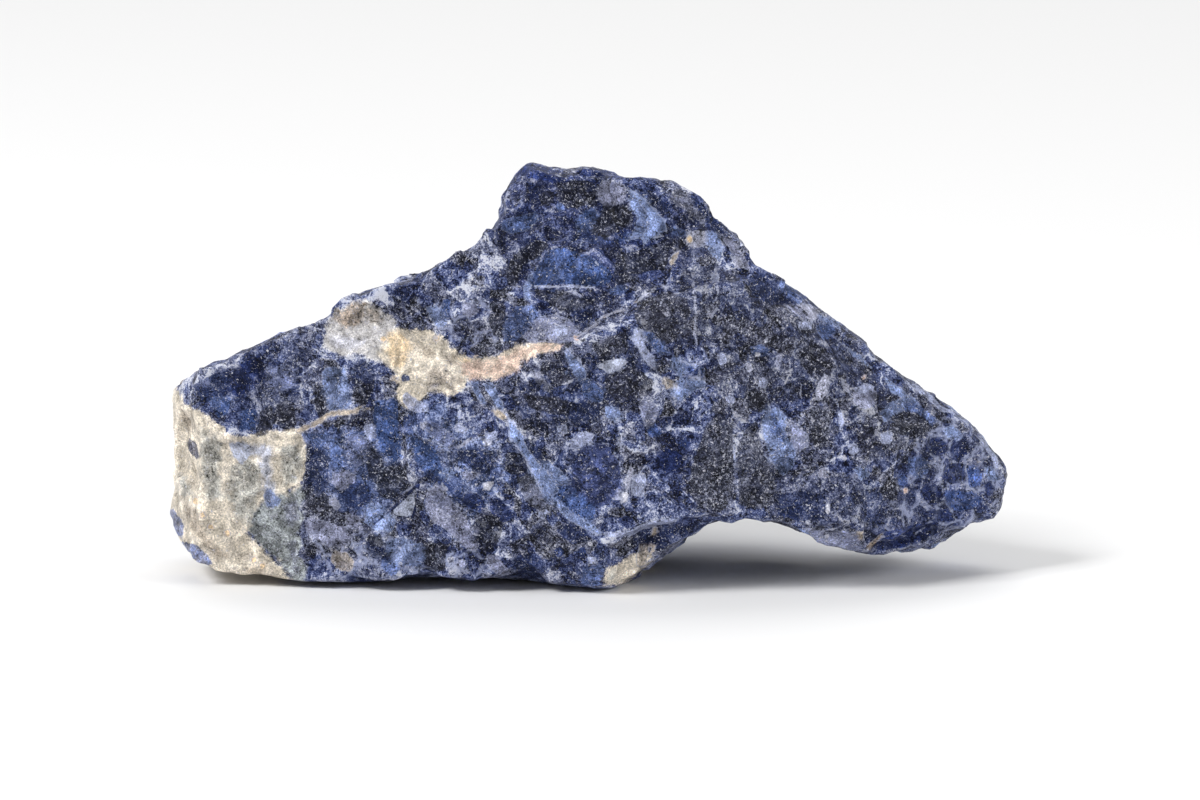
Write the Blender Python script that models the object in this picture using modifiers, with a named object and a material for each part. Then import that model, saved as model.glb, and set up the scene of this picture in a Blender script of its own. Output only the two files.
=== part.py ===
"""Rough sodalite: one broken lump of blue rock, lying on a small flat spot under its left half.

Run with: blender --background --python part.py

The outline is drawn as the eye meets it from the front, ten degrees above the
horizon. It is pushed through the rock along that line of sight, broken back by
fracture planes, given ledges and facets, and last of all sliced flat where it rests.
"""

import itertools
import math
from typing import NamedTuple

import bmesh
import bpy
import numpy as np
from mathutils import Matrix, Vector

MM = 0.001

# Driving dimensions
NAME = "sodalite"
ROUGH_DEPTH = 70 * MM  # of the block before its front and back are broken away
SIGHT_TILT = math.radians(10)  # the line of sight falls this much from front to back
FOOT_FRONT = -18 * MM  # y of the foremost point that touches the ground
BREAK_DEPTH = 90 * MM  # thickness of the rock that breaks away beyond a fracture
GRAIN = 0.62 * MM  # voxel that the broken block is resolved to
TRIANGLES = 8400
SAME_PLACE = 0.001 * MM

# A ledge has its full height this far from the middle of the rock's depth, and more
FRONT_ZONE = 9 * MM
BACK_ZONE = 14 * MM
LEDGE_END = 0.14  # share of a ledge's length over which each end dies out

# Wear that takes the sharpest points off the carved rock
WEAR = 0.4
WEAR_ROUNDS = 2

# Colour of the solid, seen as a whole
ROCK_COLOUR = (0.07, 0.10, 0.27, 1.0)
ROCK_ROUGHNESS = 0.6

TOWARDS_EYE = Vector((0, -math.cos(SIGHT_TILT), math.sin(SIGHT_TILT)))
PICTURE_UP = Vector((0, math.sin(SIGHT_TILT), math.cos(SIGHT_TILT)))
# Height of the picture plane's zero line: the foot's front edge is on it and on the ground
PICTURE_ORIGIN = Vector((0, 0, FOOT_FRONT * math.tan(SIGHT_TILT)))

# Outline in the picture plane, clockwise from the top of the left end, in millimetres
# right of the outline's own zero line and above the foot's front edge
OUTLINE = [
    # left shoulder, a straight break
    (-55.9, 27.2), (-52.4, 28.9), (-46.8, 31.5), (-41.3, 33.9), (-35.9, 36.3), (-34.6, 36.8),
    # up to the notch under the peak
    (-33.9, 37.8), (-32.2, 39.1), (-30.3, 40.0), (-27.2, 40.7), (-23.2, 42.0), (-19.2, 43.9),
    (-15.8, 45.7), (-14.5, 46.3), (-13.1, 47.8), (-11.9, 49.1), (-12.2, 50.4),
    # peak
    (-11.7, 52.6), (-10.3, 54.9), (-8.4, 57.3), (-5.8, 56.5), (-2.9, 55.7), (0.0, 56.2),
    (2.1, 55.9), (5.2, 54.9), (9.0, 54.7), (11.1, 54.3), (13.7, 52.8), (16.1, 51.0),
    (17.8, 48.8), (20.0, 46.7), (21.2, 45.1), (22.0, 43.2),
    # long slope down to the right tip
    (24.4, 42.0), (28.0, 39.9), (30.4, 37.8), (34.4, 34.8), (37.2, 32.6), (39.4, 30.3),
    (41.4, 29.1), (43.8, 27.5), (47.7, 24.7), (49.8, 23.4), (52.4, 20.6), (55.0, 17.6),
    (56.1, 15.9), (56.8, 14.6), (55.8, 12.8), (55.1, 10.9), (54.0, 9.2),
    # underside of the right lobe
    (51.8, 8.6), (49.0, 7.5), (47.8, 6.3), (45.2, 5.4), (41.8, 4.7), (38.0, 4.6), (34.4, 5.2),
    (30.4, 6.0), (28.4, 7.4), (25.7, 8.6), (21.7, 9.3), (18.0, 9.2), (15.0, 8.4), (13.7, 7.4),
    # foot and the long lower edge
    (11.0, 5.3), (8.3, 3.0), (6.0, 1.4), (3.6, 0.2), (1.2, 0.0), (-2.1, 0.3), (-5.8, 0.8),
    (-9.1, 1.4), (-13.1, 1.5), (-16.7, 1.2), (-19.8, 1.6), (-23.8, 1.6), (-27.2, 1.1),
    (-32.6, 0.9), (-38.6, 1.1), (-43.7, 1.9),
    # rounded left corner and upright left end
    (-48.9, 2.4), (-51.5, 3.5), (-54.3, 4.9), (-55.9, 7.0), (-56.8, 9.6), (-56.8, 10.8),
    (-56.1, 12.0), (-56.3, 15.9), (-56.0, 22.6),
]


class Fracture(NamedTuple):
    """A flat break: everything beyond the plane through `at` that faces `facing` is gone."""

    name: str
    at: tuple  # millimetres, z from the ground
    facing: tuple
    width: float = 200  # millimetres across, level
    height: float = 200  # millimetres up the slope


FRACTURES = [
    Fracture("main face", (20, -19.8, 24), (0.10, -1.0, 0.11)),
    Fracture("left face", (-38, -17.2, 14), (-0.14, -1.0, 0.04)),
    Fracture("left end", (-55.6, -6.5, 14), (-1.0, -0.42, 0.06)),
    Fracture("right end", (50, -10.5, 14), (0.55, -1.0, 0.10)),
    Fracture("lower front", (-24, -19.0, 1.2), (-0.05, -1.0, -0.90)),
    Fracture("lobe underside front", (44, -13.6, 5.6), (0.25, -1.0, -0.9), 40, 60),
    Fracture("peak front", (4, -12.0, 52), (0.05, -0.9, 0.55)),
    Fracture("slope bevel", (44, -10.5, 25), (0.62, -0.75, 0.62)),
    Fracture("back", (-6, 21.0, 22), (0.06, 1.0, 0.10)),
    Fracture("back left", (-46, 14.0, 18), (-0.75, 0.95, 0.12)),
    Fracture("back right", (30, 13.0, 24), (0.62, 0.90, 0.22)),
    Fracture("right tip back", (52.5, 3.5, 14), (0.80, 0.90, -0.05)),
    Fracture("peak back", (0, 5.0, 52), (0.05, 0.70, 0.72)),
    Fracture("peak left back", (-12, 4.0, 46), (-0.80, 0.70, 0.40), 60, 34),
    Fracture("left shoulder back", (-39, 10.0, 27), (-0.28, 0.62, 0.82), 50, 60),
    Fracture("slope back", (40, 0.0, 27), (0.50, 0.62, 0.62)),
    Fracture("lobe underside", (46, -2.0, 3), (0.10, 0.42, -0.92), 62, 90),
    Fracture("notch underside", (22, 12.0, 7), (0.30, 0.55, -0.80), 26, 60),
    Fracture("foot rear", (-12, 9.0, 0), (0.10, 0.50, -0.86)),
    Fracture("left underside", (-27, -6.0, 0), (-0.07, 0.03, -1.0)),
    Fracture("left corner underside", (-46, 6.0, 3.0), (-0.55, 0.42, -0.70)),
]


class Ledge(NamedTuple):
    """A step whose high side lies on the left of its line, drawn in the picture plane."""

    name: str
    line: list  # millimetres
    rise: float  # millimetres that the high side stands up
    drop: float  # millimetres that the low side sinks
    reach: float  # millimetres over which both fade out
    riser: float = 1.0  # millimetres across the slope between the two sides
    face: int = 1  # 1 for the front of the rock, -1 for the back


LEDGES = [
    Ledge(
        "vein",
        [
            (22.0, 43.2), (15.0, 40.4), (8.3, 37.6), (1.6, 34.6), (-3.1, 32.6), (-9.1, 30.6),
            (-13.9, 29.0), (-18.5, 30.1), (-21.8, 32.2), (-25.9, 34.1), (-29.9, 35.3), (-33.9, 36.1),
        ],
        rise=0.4, drop=1.8, reach=32, riser=1.6,
    ),
    Ledge(
        "vein bench",
        [(-3.0, 33.6), (-9.1, 32.6), (-14.5, 31.6), (-18.5, 33.6), (-23.0, 36.2), (-29.0, 38.0)],
        rise=0.3, drop=1.5, reach=10, riser=2.4,
    ),
    Ledge(
        "left ridge",
        [
            (-28.9, 25.5), (-31.9, 24.2), (-35.2, 22.6), (-38.6, 21.5), (-42.6, 21.2), (-46.6, 21.0),
            (-50.0, 22.6), (-52.7, 24.6), (-54.4, 26.3),
        ],
        rise=0.5, drop=1.5, reach=9,
    ),
    Ledge(
        "plate edge",
        [
            (-15.5, 28.2), (-13.1, 25.0), (-10.5, 21.2), (-8.8, 17.2), (-5.8, 13.2), (-1.7, 9.8),
            (1.2, 6.8),
        ],
        rise=0.5, drop=1.1, reach=13,
    ),
    Ledge(
        "foot rim",
        [(0.6, 6.0), (4.3, 6.9), (7.0, 8.5), (10.3, 9.2), (15.0, 9.6), (20.4, 9.7)],
        rise=0.2, drop=3.4, reach=16,
    ),
    Ledge(
        "long crack",
        [
            (-25.2, 25.3), (-24.9, 19.9), (-24.1, 16.1), (-21.2, 14.8), (-17.8, 12.5), (-14.5, 10.8),
            (-9.8, 8.9), (-5.8, 4.9), (-1.1, 1.8),
        ],
        rise=0.2, drop=0.9, reach=8,
    ),
    Ledge("wedge", [(-28.1, 9.8), (-25.5, 11.9), (-23.0, 13.6)], rise=0.4, drop=0.7, reach=5),
    Ledge(
        "blue plate",
        [(-8.6, 38.2), (-7.1, 40.6), (-3.8, 40.8), (1.6, 40.9), (3.6, 39.2)],
        rise=0.7, drop=0.8, reach=6,
    ),
    Ledge("peak shoulder", [(-12.9, 48.7), (-9.1, 50.3), (-5.4, 50.8)], rise=0.4, drop=1.4, reach=7),
    Ledge(
        "tip band",
        [(53.9, 17.9), (51.8, 21.6), (47.8, 23.6), (45.2, 25.0), (41.8, 25.3)],
        rise=0.3, drop=1.1, reach=5,
    ),
    Ledge(
        "lobe lip",
        [(36.2, 4.6), (39.8, 6.9), (42.5, 7.7), (46.5, 8.2), (49.8, 8.5), (53.8, 9.6)],
        rise=0.3, drop=2.2, reach=7,
    ),
    Ledge("pale flake", [(23.0, 23.4), (24.1, 19.2), (26.9, 15.0)], rise=0.4, drop=0.5, reach=5),
    Ledge(
        "rear bench",
        [(-46, 24), (-30, 20), (-14, 24), (2, 19), (18, 22), (34, 17)],
        rise=0.8, drop=2.6, reach=15, face=-1,
    ),
    Ledge(
        "rear upper step",
        [(16, 36), (6, 40), (-4, 37), (-16, 40), (-26, 34)],
        rise=0.6, drop=1.8, reach=10, face=-1,
    ),
    Ledge(
        "rear corner step",
        [(-20, 2), (-26, 9), (-34, 12), (-47, 10)],
        rise=0.5, drop=1.8, reach=9, face=-1,
    ),
]


class Facets(NamedTuple):
    """A layer of small flat breaks that meet in creases and low steps."""

    size: float  # millimetres across
    slope: float  # steepest tilt against the face they lie on, as a gradient
    step: float  # millimetres that neighbours stand apart
    seed: int


FACET_LAYERS = [Facets(10.0, 0.13, 0.40, 21), Facets(4.2, 0.19, 0.15, 13)]
CREASE_BIAS = 0.5  # higher values keep each facet near its own centre, with taller steps
EVEN_OUT = 6  # rounds in which neighbouring vertices share their normals

# Faces that run along the line of sight make the outline. They're only carved inwards,
# and not at all along a crest, so that the outline stays where it's drawn.
CREST_LOW = (15 * MM, 8 * MM)  # depth of the crest low on the rock, and how high that holds
CREST_HIGH = (3 * MM, 30 * MM)  # and high on the rock
CREST_WIDTH = 4 * MM
INWARDS = 0.8  # share of a facet's depth that such a face keeps
EDGE_ON = 0.1  # cosine to the line of sight below which a face makes the outline
WELL_SEEN = 0.45  # and above which it doesn't


def clear_scene():
    for obj in list(bpy.data.objects):
        bpy.data.objects.remove(obj)


def make_collection(name):
    collection = bpy.data.collections.new(name)
    bpy.context.scene.collection.children.link(collection)
    return collection


def link_mesh(mesh, name, collection):
    obj = bpy.data.objects.new(name, mesh)
    collection.objects.link(obj)
    return obj


def evaluated_mesh(obj):
    """A mesh of its own that holds the object's with its modifiers applied."""
    bpy.context.view_layer.update()
    graph = bpy.context.evaluated_depsgraph_get()
    return bpy.data.meshes.new_from_object(obj.evaluated_get(graph))


def sodalite_material():
    material = bpy.data.materials.new("sodalite rock")
    material.use_nodes = True
    shader = material.node_tree.nodes["Principled BSDF"]
    shader.inputs["Base Color"].default_value = ROCK_COLOUR
    shader.inputs["Roughness"].default_value = ROCK_ROUGHNESS
    shader.inputs["Metallic"].default_value = 0.0
    return material


def outline_block(collection):
    """The outline pushed through the rock along the line of sight, as a closed mesh."""
    curve = bpy.data.curves.new("outline", "CURVE")
    curve.dimensions = "2D"
    curve.fill_mode = "BOTH"
    curve.extrude = ROUGH_DEPTH / 2
    spline = curve.splines.new("POLY")
    spline.points.add(len(OUTLINE) - 1)
    for point, (x, up) in zip(spline.points, OUTLINE):
        point.co = (x * MM, up * MM, 0, 1)
    spline.use_cyclic_u = True

    drawn = bpy.data.objects.new("outline", curve)
    collection.objects.link(drawn)
    drawn.rotation_euler = (math.pi / 2 - SIGHT_TILT, 0, 0)
    drawn.location = PICTURE_ORIGIN
    mesh = evaluated_mesh(drawn)

    closed = bmesh.new()
    closed.from_mesh(mesh)
    bmesh.ops.remove_doubles(closed, verts=closed.verts, dist=SAME_PLACE)
    bmesh.ops.recalc_face_normals(closed, faces=closed.faces)
    closed.to_mesh(mesh)
    closed.free()
    block = link_mesh(mesh, "rough block", collection)
    block.matrix_world = drawn.matrix_world
    bpy.data.objects.remove(drawn)
    return block


def fracture_cutter(fracture, collection):
    """A box that stands on the fracture plane, on the side that broke away."""
    facing = Vector(fracture.facing).normalized()
    size = (fracture.width * MM, fracture.height * MM, BREAK_DEPTH)
    bpy.ops.mesh.primitive_cube_add(size=1)
    cutter = bpy.context.object
    cutter.name = "break " + fracture.name
    turn = facing.to_track_quat("Z", "Y").to_matrix().to_4x4()
    centre = Vector(fracture.at) * MM + facing * BREAK_DEPTH / 2
    cutter.data.transform(Matrix.Translation(centre) @ turn @ Matrix.Diagonal((*size, 1)))
    for holder in list(cutter.users_collection):
        holder.objects.unlink(cutter)
    collection.objects.link(cutter)
    cutter.hide_render = True
    cutter.display_type = "WIRE"
    return cutter


def break_back(block, cutters):
    """The block without what lies beyond its fracture planes, resolved to an even grain."""
    for cutter in cutters:
        cut = block.modifiers.new(cutter.name, "BOOLEAN")
        cut.operation = "DIFFERENCE"
        cut.object = cutter
    grain = block.modifiers.new("grain", "REMESH")
    grain.mode = "VOXEL"
    grain.voxel_size = GRAIN
    broken = evaluated_mesh(block)
    broken.transform(block.matrix_world)
    return broken


def smooth_ramp(low, high, value):
    t = np.clip((value - low) / (high - low), 0, 1)
    return t * t * (3 - 2 * t)


def ledge_lift(ledge, across, up):
    """How far a ledge lifts each point of the picture plane towards the eye."""
    line = np.array(ledge.line) * MM
    spans = np.hypot(*np.diff(line, axis=0).T)
    starts = np.concatenate([[0], np.cumsum(spans)])
    nearest = np.full(len(across), np.inf)
    aside = np.zeros(len(across))
    travelled = np.zeros(len(across))
    for (ax, au), (bx, bu), span, start in zip(line, line[1:], spans, starts):
        run = ((across - ax) * (bx - ax) + (up - au) * (bu - au)) / span**2
        run = np.clip(run, 0, 1)
        off_x = across - ax - run * (bx - ax)
        off_u = up - au - run * (bu - au)
        distance = np.hypot(off_x, off_u)
        left = ((bx - ax) * off_u - (bu - au) * off_x) / span
        # Where two spans meet, the one seen more squarely tells the side
        tied = np.abs(distance - nearest) < SAME_PLACE
        better = np.where(tied, np.abs(left) > np.abs(aside), distance < nearest)
        nearest[better] = distance[better]
        aside[better] = left[better]
        travelled[better] = (start + run * span)[better]
    share = travelled / starts[-1]
    ends = smooth_ramp(0, LEDGE_END, share) * smooth_ramp(1, 1 - LEDGE_END, share)
    riser = smooth_ramp(0, ledge.riser * MM / 2, nearest)
    fade = np.exp(-nearest / (ledge.reach * MM)) * riser
    height = np.where(aside > 0, ledge.rise, -ledge.drop) * MM
    return height * fade * ends


def facet_lift(layer, place):
    """How far one layer of facets moves each point along its normal.

    Each cell of a grid holds one facet's centre, level and tilt. A point takes the
    facet that lies lowest there, so that facets meet where their planes cross.
    """
    size = layer.size * MM
    low = place.min(axis=0) - 2 * size  # leaves a spare cell all round
    counts = np.ceil((place.max(axis=0) - low) / size).astype(int) + 2
    random = np.random.default_rng(layer.seed)
    jitter = random.random((*counts, 3))
    level = random.uniform(-1, 1, counts) * layer.step * MM
    tilt = random.uniform(-1, 1, (*counts, 3)) * layer.slope
    home = np.floor((place - low) / size).astype(int)
    lowest = np.full(len(place), np.inf)
    lift = np.zeros(len(place))
    for neighbour in itertools.product((-1, 0, 1), repeat=3):
        cell = home + neighbour
        index = tuple(cell.T)
        away = place - low - (cell + jitter[index]) * size
        height = level[index] + (tilt[index] * away).sum(axis=1)
        cost = height + CREASE_BIAS * (away**2).sum(axis=1) / size
        better = cost < lowest
        lowest[better] = cost[better]
        lift[better] = height[better]
    return lift


def vertex_values(mesh, name):
    """A vector that the mesh keeps for each vertex, such as its place or its normal."""
    values = np.empty(len(mesh.vertices) * 3)
    mesh.vertices.foreach_get(name, values)
    return values.reshape(-1, 3)


def even_normals(mesh):
    """Vertex normals averaged with their neighbours', so that sharp edges don't fray."""
    normal = vertex_values(mesh, "normal")
    edges = np.empty(len(mesh.edges) * 2, int)
    mesh.edges.foreach_get("vertices", edges)
    first, second = edges.reshape(-1, 2).T
    for _ in range(EVEN_OUT):
        shared = normal.copy()
        np.add.at(shared, first, normal[second])
        np.add.at(shared, second, normal[first])
        normal = shared / np.linalg.norm(shared, axis=1, keepdims=True)
    return normal


def carve(mesh):
    """Moves the vertices of the broken block to make its ledges and facets."""
    place = vertex_values(mesh, "co")
    normal = even_normals(mesh)
    from_origin = place - np.array(PICTURE_ORIGIN)
    across = from_origin[:, 0]
    up = from_origin @ np.array(PICTURE_UP)
    depth = from_origin @ np.array(TOWARDS_EYE)
    shift = np.zeros(len(place))
    for ledge in LEDGES:
        zone = FRONT_ZONE if ledge.face > 0 else BACK_ZONE
        share = np.clip(ledge.face * depth / zone, 0, 1)
        shift += ledge.face * share * ledge_lift(ledge, across, up)

    facets = sum(facet_lift(layer, place) for layer in FACET_LAYERS)
    crest = np.interp(up, (CREST_LOW[1], CREST_HIGH[1]), (CREST_LOW[0], CREST_HIGH[0]))
    off_crest = smooth_ramp(0, CREST_WIDTH, np.abs(depth - crest))
    inwards = -np.abs(facets) * INWARDS * off_crest
    on_face = smooth_ramp(EDGE_ON, WELL_SEEN, np.abs(normal @ np.array(TOWARDS_EYE)))
    lift = on_face * facets + (1 - on_face) * inwards
    moved = place + shift[:, None] * np.array(TOWARDS_EYE) + lift[:, None] * normal
    mesh.vertices.foreach_set("co", moved.ravel())
    mesh.update()


def thin_out(carved):
    """The carved mesh made whole again, with only as many triangles as its shape needs."""
    grain = carved.modifiers.new("grain", "REMESH")
    grain.mode = "VOXEL"
    grain.voxel_size = GRAIN
    quads = len(evaluated_mesh(carved).polygons)
    wear = carved.modifiers.new("wear", "SMOOTH")
    wear.factor = WEAR
    wear.iterations = WEAR_ROUNDS
    thin = carved.modifiers.new("thin", "DECIMATE")
    thin.ratio = TRIANGLES / (2 * quads)
    return evaluated_mesh(carved)


def slice_base(mesh):
    """Cuts the rock level with the ground, and sets its origin in the middle of its base."""
    rock = bmesh.new()
    rock.from_mesh(mesh)
    everything = rock.verts[:] + rock.edges[:] + rock.faces[:]
    cut = bmesh.ops.bisect_plane(
        rock, geom=everything, plane_co=(0, 0, 0), plane_no=(0, 0, 1), clear_inner=True
    )
    rim = [item for item in cut["geom_cut"] if isinstance(item, bmesh.types.BMEdge)]
    bmesh.ops.holes_fill(rock, edges=rim, sides=0)
    bmesh.ops.triangulate(rock, faces=rock.faces)
    bmesh.ops.recalc_face_normals(rock, faces=rock.faces)
    sides = [[vert.co[axis] for vert in rock.verts] for axis in (0, 1)]
    middle = [(min(side) + max(side)) / 2 for side in sides]
    bmesh.ops.translate(rock, verts=rock.verts, vec=(-middle[0], -middle[1], 0))
    rock.to_mesh(mesh)
    rock.free()


def main():
    clear_scene()
    rock_collection = make_collection("rough sodalite")
    cutters_collection = make_collection("fracture planes")

    block = outline_block(cutters_collection)
    cutters = [fracture_cutter(fracture, cutters_collection) for fracture in FRACTURES]
    broken = break_back(block, cutters)
    carve(broken)
    carved = link_mesh(broken, "carved", cutters_collection)
    thinned = thin_out(carved)
    slice_base(thinned)
    bpy.data.objects.remove(block)
    bpy.data.objects.remove(carved)

    rock = link_mesh(thinned, NAME, rock_collection)
    rock.data.materials.clear()
    rock.data.materials.append(sodalite_material())


main()
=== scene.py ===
import itertools
import math
from collections import namedtuple

import bmesh
import bpy
import numpy as np
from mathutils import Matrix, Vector


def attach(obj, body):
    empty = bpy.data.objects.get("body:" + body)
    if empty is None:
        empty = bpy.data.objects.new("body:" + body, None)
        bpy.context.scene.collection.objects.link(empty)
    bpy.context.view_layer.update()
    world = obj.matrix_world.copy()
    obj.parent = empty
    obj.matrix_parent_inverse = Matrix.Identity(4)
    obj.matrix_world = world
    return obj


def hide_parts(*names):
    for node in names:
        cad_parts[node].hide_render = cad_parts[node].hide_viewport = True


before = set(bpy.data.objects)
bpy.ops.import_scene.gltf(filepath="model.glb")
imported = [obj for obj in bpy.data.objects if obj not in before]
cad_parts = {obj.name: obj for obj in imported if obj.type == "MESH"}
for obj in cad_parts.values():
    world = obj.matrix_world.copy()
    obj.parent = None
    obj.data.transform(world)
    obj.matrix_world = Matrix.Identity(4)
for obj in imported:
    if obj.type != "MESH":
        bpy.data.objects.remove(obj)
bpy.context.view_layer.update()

bl_info = {
    "name": "Rough sodalite",
    "version": (1, 0, 0),
    "blender": (4, 5, 0),
    "location": "3D View > Sidebar > Rough sodalite",
    "description": "Dresses the solid of a rough sodalite stone and sets it on a pale stage",
    "category": "Object",
}

MM = 0.001
NODE = "sodalite"

# The stone is drawn as it is seen by an eye 0.9 m away and 10 degrees above the ground.
# Places on that drawing are counted in steps across and steps down from its top left corner.
SIGHT_TILT = math.radians(10)
EYE_DISTANCE = 0.9
TOWARDS_EYE = np.array((0.0, -math.cos(SIGHT_TILT), math.sin(SIGHT_TILT)))
PICTURE_UP = np.array((0.0, math.sin(SIGHT_TILT), math.cos(SIGHT_TILT)))
AIM_ACROSS = 0.00161
AIM_UP = 0.02525
FRONT_DEPTH = 0.018
AIM = np.array((AIM_ACROSS, 0.0, -FRONT_DEPTH * math.tan(SIGHT_TILT))) + PICTURE_UP * AIM_UP
PICTURE_SIZE = (1200, 800)
PICTURE_WIDTH = 0.1608
FACE_AHEAD = 0.005
SENSOR = 36.0
LENS = SENSOR * (EYE_DISTANCE - FACE_AHEAD) / PICTURE_WIDTH
STEPS_PER_MM = 7.464

# Ranges that a value is carried between, and patterns of noise, with sizes in mm.
Span = namedtuple("Span", "low high to_low to_high smooth", defaults=(0.0, 1.0, False))
Noise = namedtuple("Noise", "size detail roughness twist height", defaults=(2.0, 0.5, 0.0, 0.0))
Stray = namedtuple("Stray", "size reach detail", defaults=(2.0,))

# The break of the surface: facets of two sizes, in mm, with the slope and step of each. The lift that
# this percentage of the places stays under is level with the solid.
Facets = namedtuple("Facets", "size slope step seed")
FACET_LAYERS = [Facets(4.6, 0.12, 0.18, 7), Facets(1.7, 0.10, 0.045, 5)]
CREASE_BIAS = 0.5
LEVEL_PERCENTAGE = 80
LIFT_ROUNDS = 2
NORMAL_ROUNDS = 6
BASE_MARGIN = 0.4
GRAIN = 0.31
TRIANGLES = 193000

# Flakes: their height in mm by how light they are, and the rim over which they rise.
MIDDLE_LIGHT = 0.12
LIGHT_RISE = 3.0
FLAKE_HEIGHTS = (-0.14, 0.12)
FLAKE_RIM = 0.3
FLAKE_START = 0.4
RIDGE_ROUNDS = 3

# Chance flakes on the sides that the drawing doesn't show, with sizes in mm. Markings fade where the
# surface turns from the eye, and chance flakes begin there.
SCATTERED = 300
SCATTER_SEED = 31
SCATTER_GROWTH = (0.9, 1.4)
SCATTER_REACH = 9
SCATTER_ASIDE = 0.3
HIDDEN_BELOW = 0.10
FADE_BELOW = 0.12
FADE_RATE = 4.0
FRONT_ROUNDS = 2
SIDE_ROUNDS = 30
# The depth that stands for every place further out than this from a marking.
FAR = -2.5

# How each layer of markings is painted, from the lowest up: how far its edges stray and how soft
# they are, in mm, how strongly it covers, and what is left of it where the veil is thin.
Layer = namedtuple("Layer", "stray softness share veil")
LAYERS = {
    "mood": Layer(3.0, 1.0, 0.6, 0.3),
    "zone": Layer(0.9, 0.6, 0.94, 0.85),
    "blush": Layer(1.1, 0.9, 0.85, 0.5),
    "flake": Layer(0.36, 0.14, 0.88, 0.62),
    "inlay": Layer(0.32, 0.14, 0.93, 0.8),
}
VEIL = Noise(1.1, 4.0, 0.65, 0.6, 60.0)
VEIL_SPAN = (0.30, 0.55)
EDGE_NOISE = Noise(1.3, 5.0, 0.65)
EDGE_SWINGS = (0.40, 0.20, 0.14)
RIM_DEPTH = 0.09
RIM = Span(0.14, 0.03)
RIM_AREA = Span(0.36, 0.52)
RIM_BY_LIGHT = Span(0.06, 0.26, 0.0, 0.75)
LIVELINESS = Span(0.10, 0.45, 3.0, 1.7)

# Crystals, plates within them and chips, in mm, and how much each pattern makes them lighter or darker.
# The ridge term is painted light: a painted highlight on ridges and painted shade in hollows.
CRYSTAL_SIZE = 5.0
PLATE_SIZE = 1.9
CHIP_SIZE = 0.75
CRYSTAL_STRAY = Stray(3.2, 1.9, 4.0)
CRYSTAL_BREAK = Stray(0.45, 0.32)
PLATE_STRAY = Stray(1.4, 0.8, 3.0)
PLATE_BREAK = Stray(0.40, 0.22)
CHIP_STRAY = Stray(0.5, 0.2)
LOOSE_PLATES = 0.62
FINE = Noise(0.24, 3.0, 0.75)
CLOUD = Noise(1.7, 3.0, 0.6)
FINE_SWING = 0.50
CLOUD_SWING = 0.13
CHIP_SWING = 0.19
FACET_SWING = 0.10
SMALL_FACET_SWING = 0.09
# Painted highlight on ridges and painted shade in hollows, by how sharp a ridge or how deep a hollow each
# place is.
RIDGE_HIGHLIGHT_AND_HOLLOW_SHADE = Span(-0.05, 0.07, -0.14, 0.20)

# Pale seams between crystals, finer ones between plates, and the pale network in places.
SEAM = Span(0.05, 0.012, smooth=True)
SEAM_NOISE = Noise(3.1)
SEAM_AREA = Span(0.42, 0.54)
SEAM_LIGHT = 0.40
HAIR_STRAY = Stray(1.0, 0.5, 3.0)
HAIR = Span(0.07, 0.015, smooth=True)
HAIR_NOISE = Noise(2.3)
HAIR_AREA = Span(0.5, 0.62)
HAIR_LIGHT = 0.20
NETWORK_STRAY = Stray(1.2, 0.6, 3.0)
NETWORK_SIZE = 2.7
NETWORK = Span(0.13, 0.0, smooth=True)
NETWORK_AREA = Span(0.36, 0.50)
NETWORK_EDGE_STRAY = 3.0
NETWORK_EDGE = Span(-0.5, 0.8)
NETWORK_SHARE = 0.8

# Dark cracks.
CRACK_STRAY = Stray(2.6, 1.5, 4.0)
CRACK_HEIGHT = 20.0
CRACK_SIZE = 6.5
CRACK = Span(0.030, 0.008, smooth=True)
CRACK_NOISE = Noise(3.7)
CRACK_AREA = Span(0.46, 0.54)
CRACK_BY_LIGHT = Span(0.15, 0.4, 0.75, 0.15)
CRACK_SHADE = 0.2

# White sugary grains, the soft blotches under them and the dark gaps between them. The brightest grains
# are partly white mineral and partly painted glints.
FLECK_LEVEL = Span(0.0, 0.5, 0.70, 0.50)
FLECK_SOFTNESS = 0.03
THREADS = Noise(0.27, 2.0, 0.7, 0.9)
CLUSTERS = Noise(0.8, 3.0, 0.65, 1.2, 40.0)
CLUSTER_PULL = Span(0.3, 0.7, -0.11, 0.10)
FLECK_STRENGTH = Span(0.35, 0.65, 0.30, 0.80)
# The brightest grains: partly white mineral, partly painted glints.
BRIGHT_GRAIN_AND_GLINT_SHARE = 0.4
BRIGHT_GRAIN_AND_GLINT_STRENGTH = 0.85
BLOTCHES = Noise(0.62, 3.0, 0.7, 1.0, 120.0)
BLOTCH_SHARE = 0.75
BLOTCH_SOFTNESS = 0.05
BLOTCH_BY_LIGHT = Span(0.15, 0.5, 0.60, 0.25)
GAPS = Noise(0.34, 2.0, 0.7, 0.7, 80.0)
BROAD_GAPS = Noise(0.95, 3.0, 0.6, 0.8, 100.0)
GAP_PULL = Span(0.3, 0.7, -0.13, 0.10)
GAP_SHARE = 0.30
GAP_BY_LIGHT = Span(0.15, 0.5, 0.92, 0.25)
GAP_SHADE = 0.10

# Colours of the fine patterns, as 8-bit sRGB.
RIM_COLOUR = (176, 182, 206)
NETWORK_COLOUR = (158, 166, 198)
BLOTCH_COLOUR = (138, 142, 168)
FLECK_COLOUR = (150, 155, 178)
# The brightest grains, partly painted glints.
BRIGHT_GRAIN_AND_GLINT_COLOUR = (214, 213, 222)

# The skin: a dull gloss over fine relief, with its depth in metres.
SKIN_ROUGHNESS = 0.42
SKIN_SPECULAR = 0.10
RELIEF_FINE = 0.5
RELIEF_CHIP = 0.3
RELIEF_STRENGTH = 0.5
RELIEF_DEPTH = 0.0002

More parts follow.
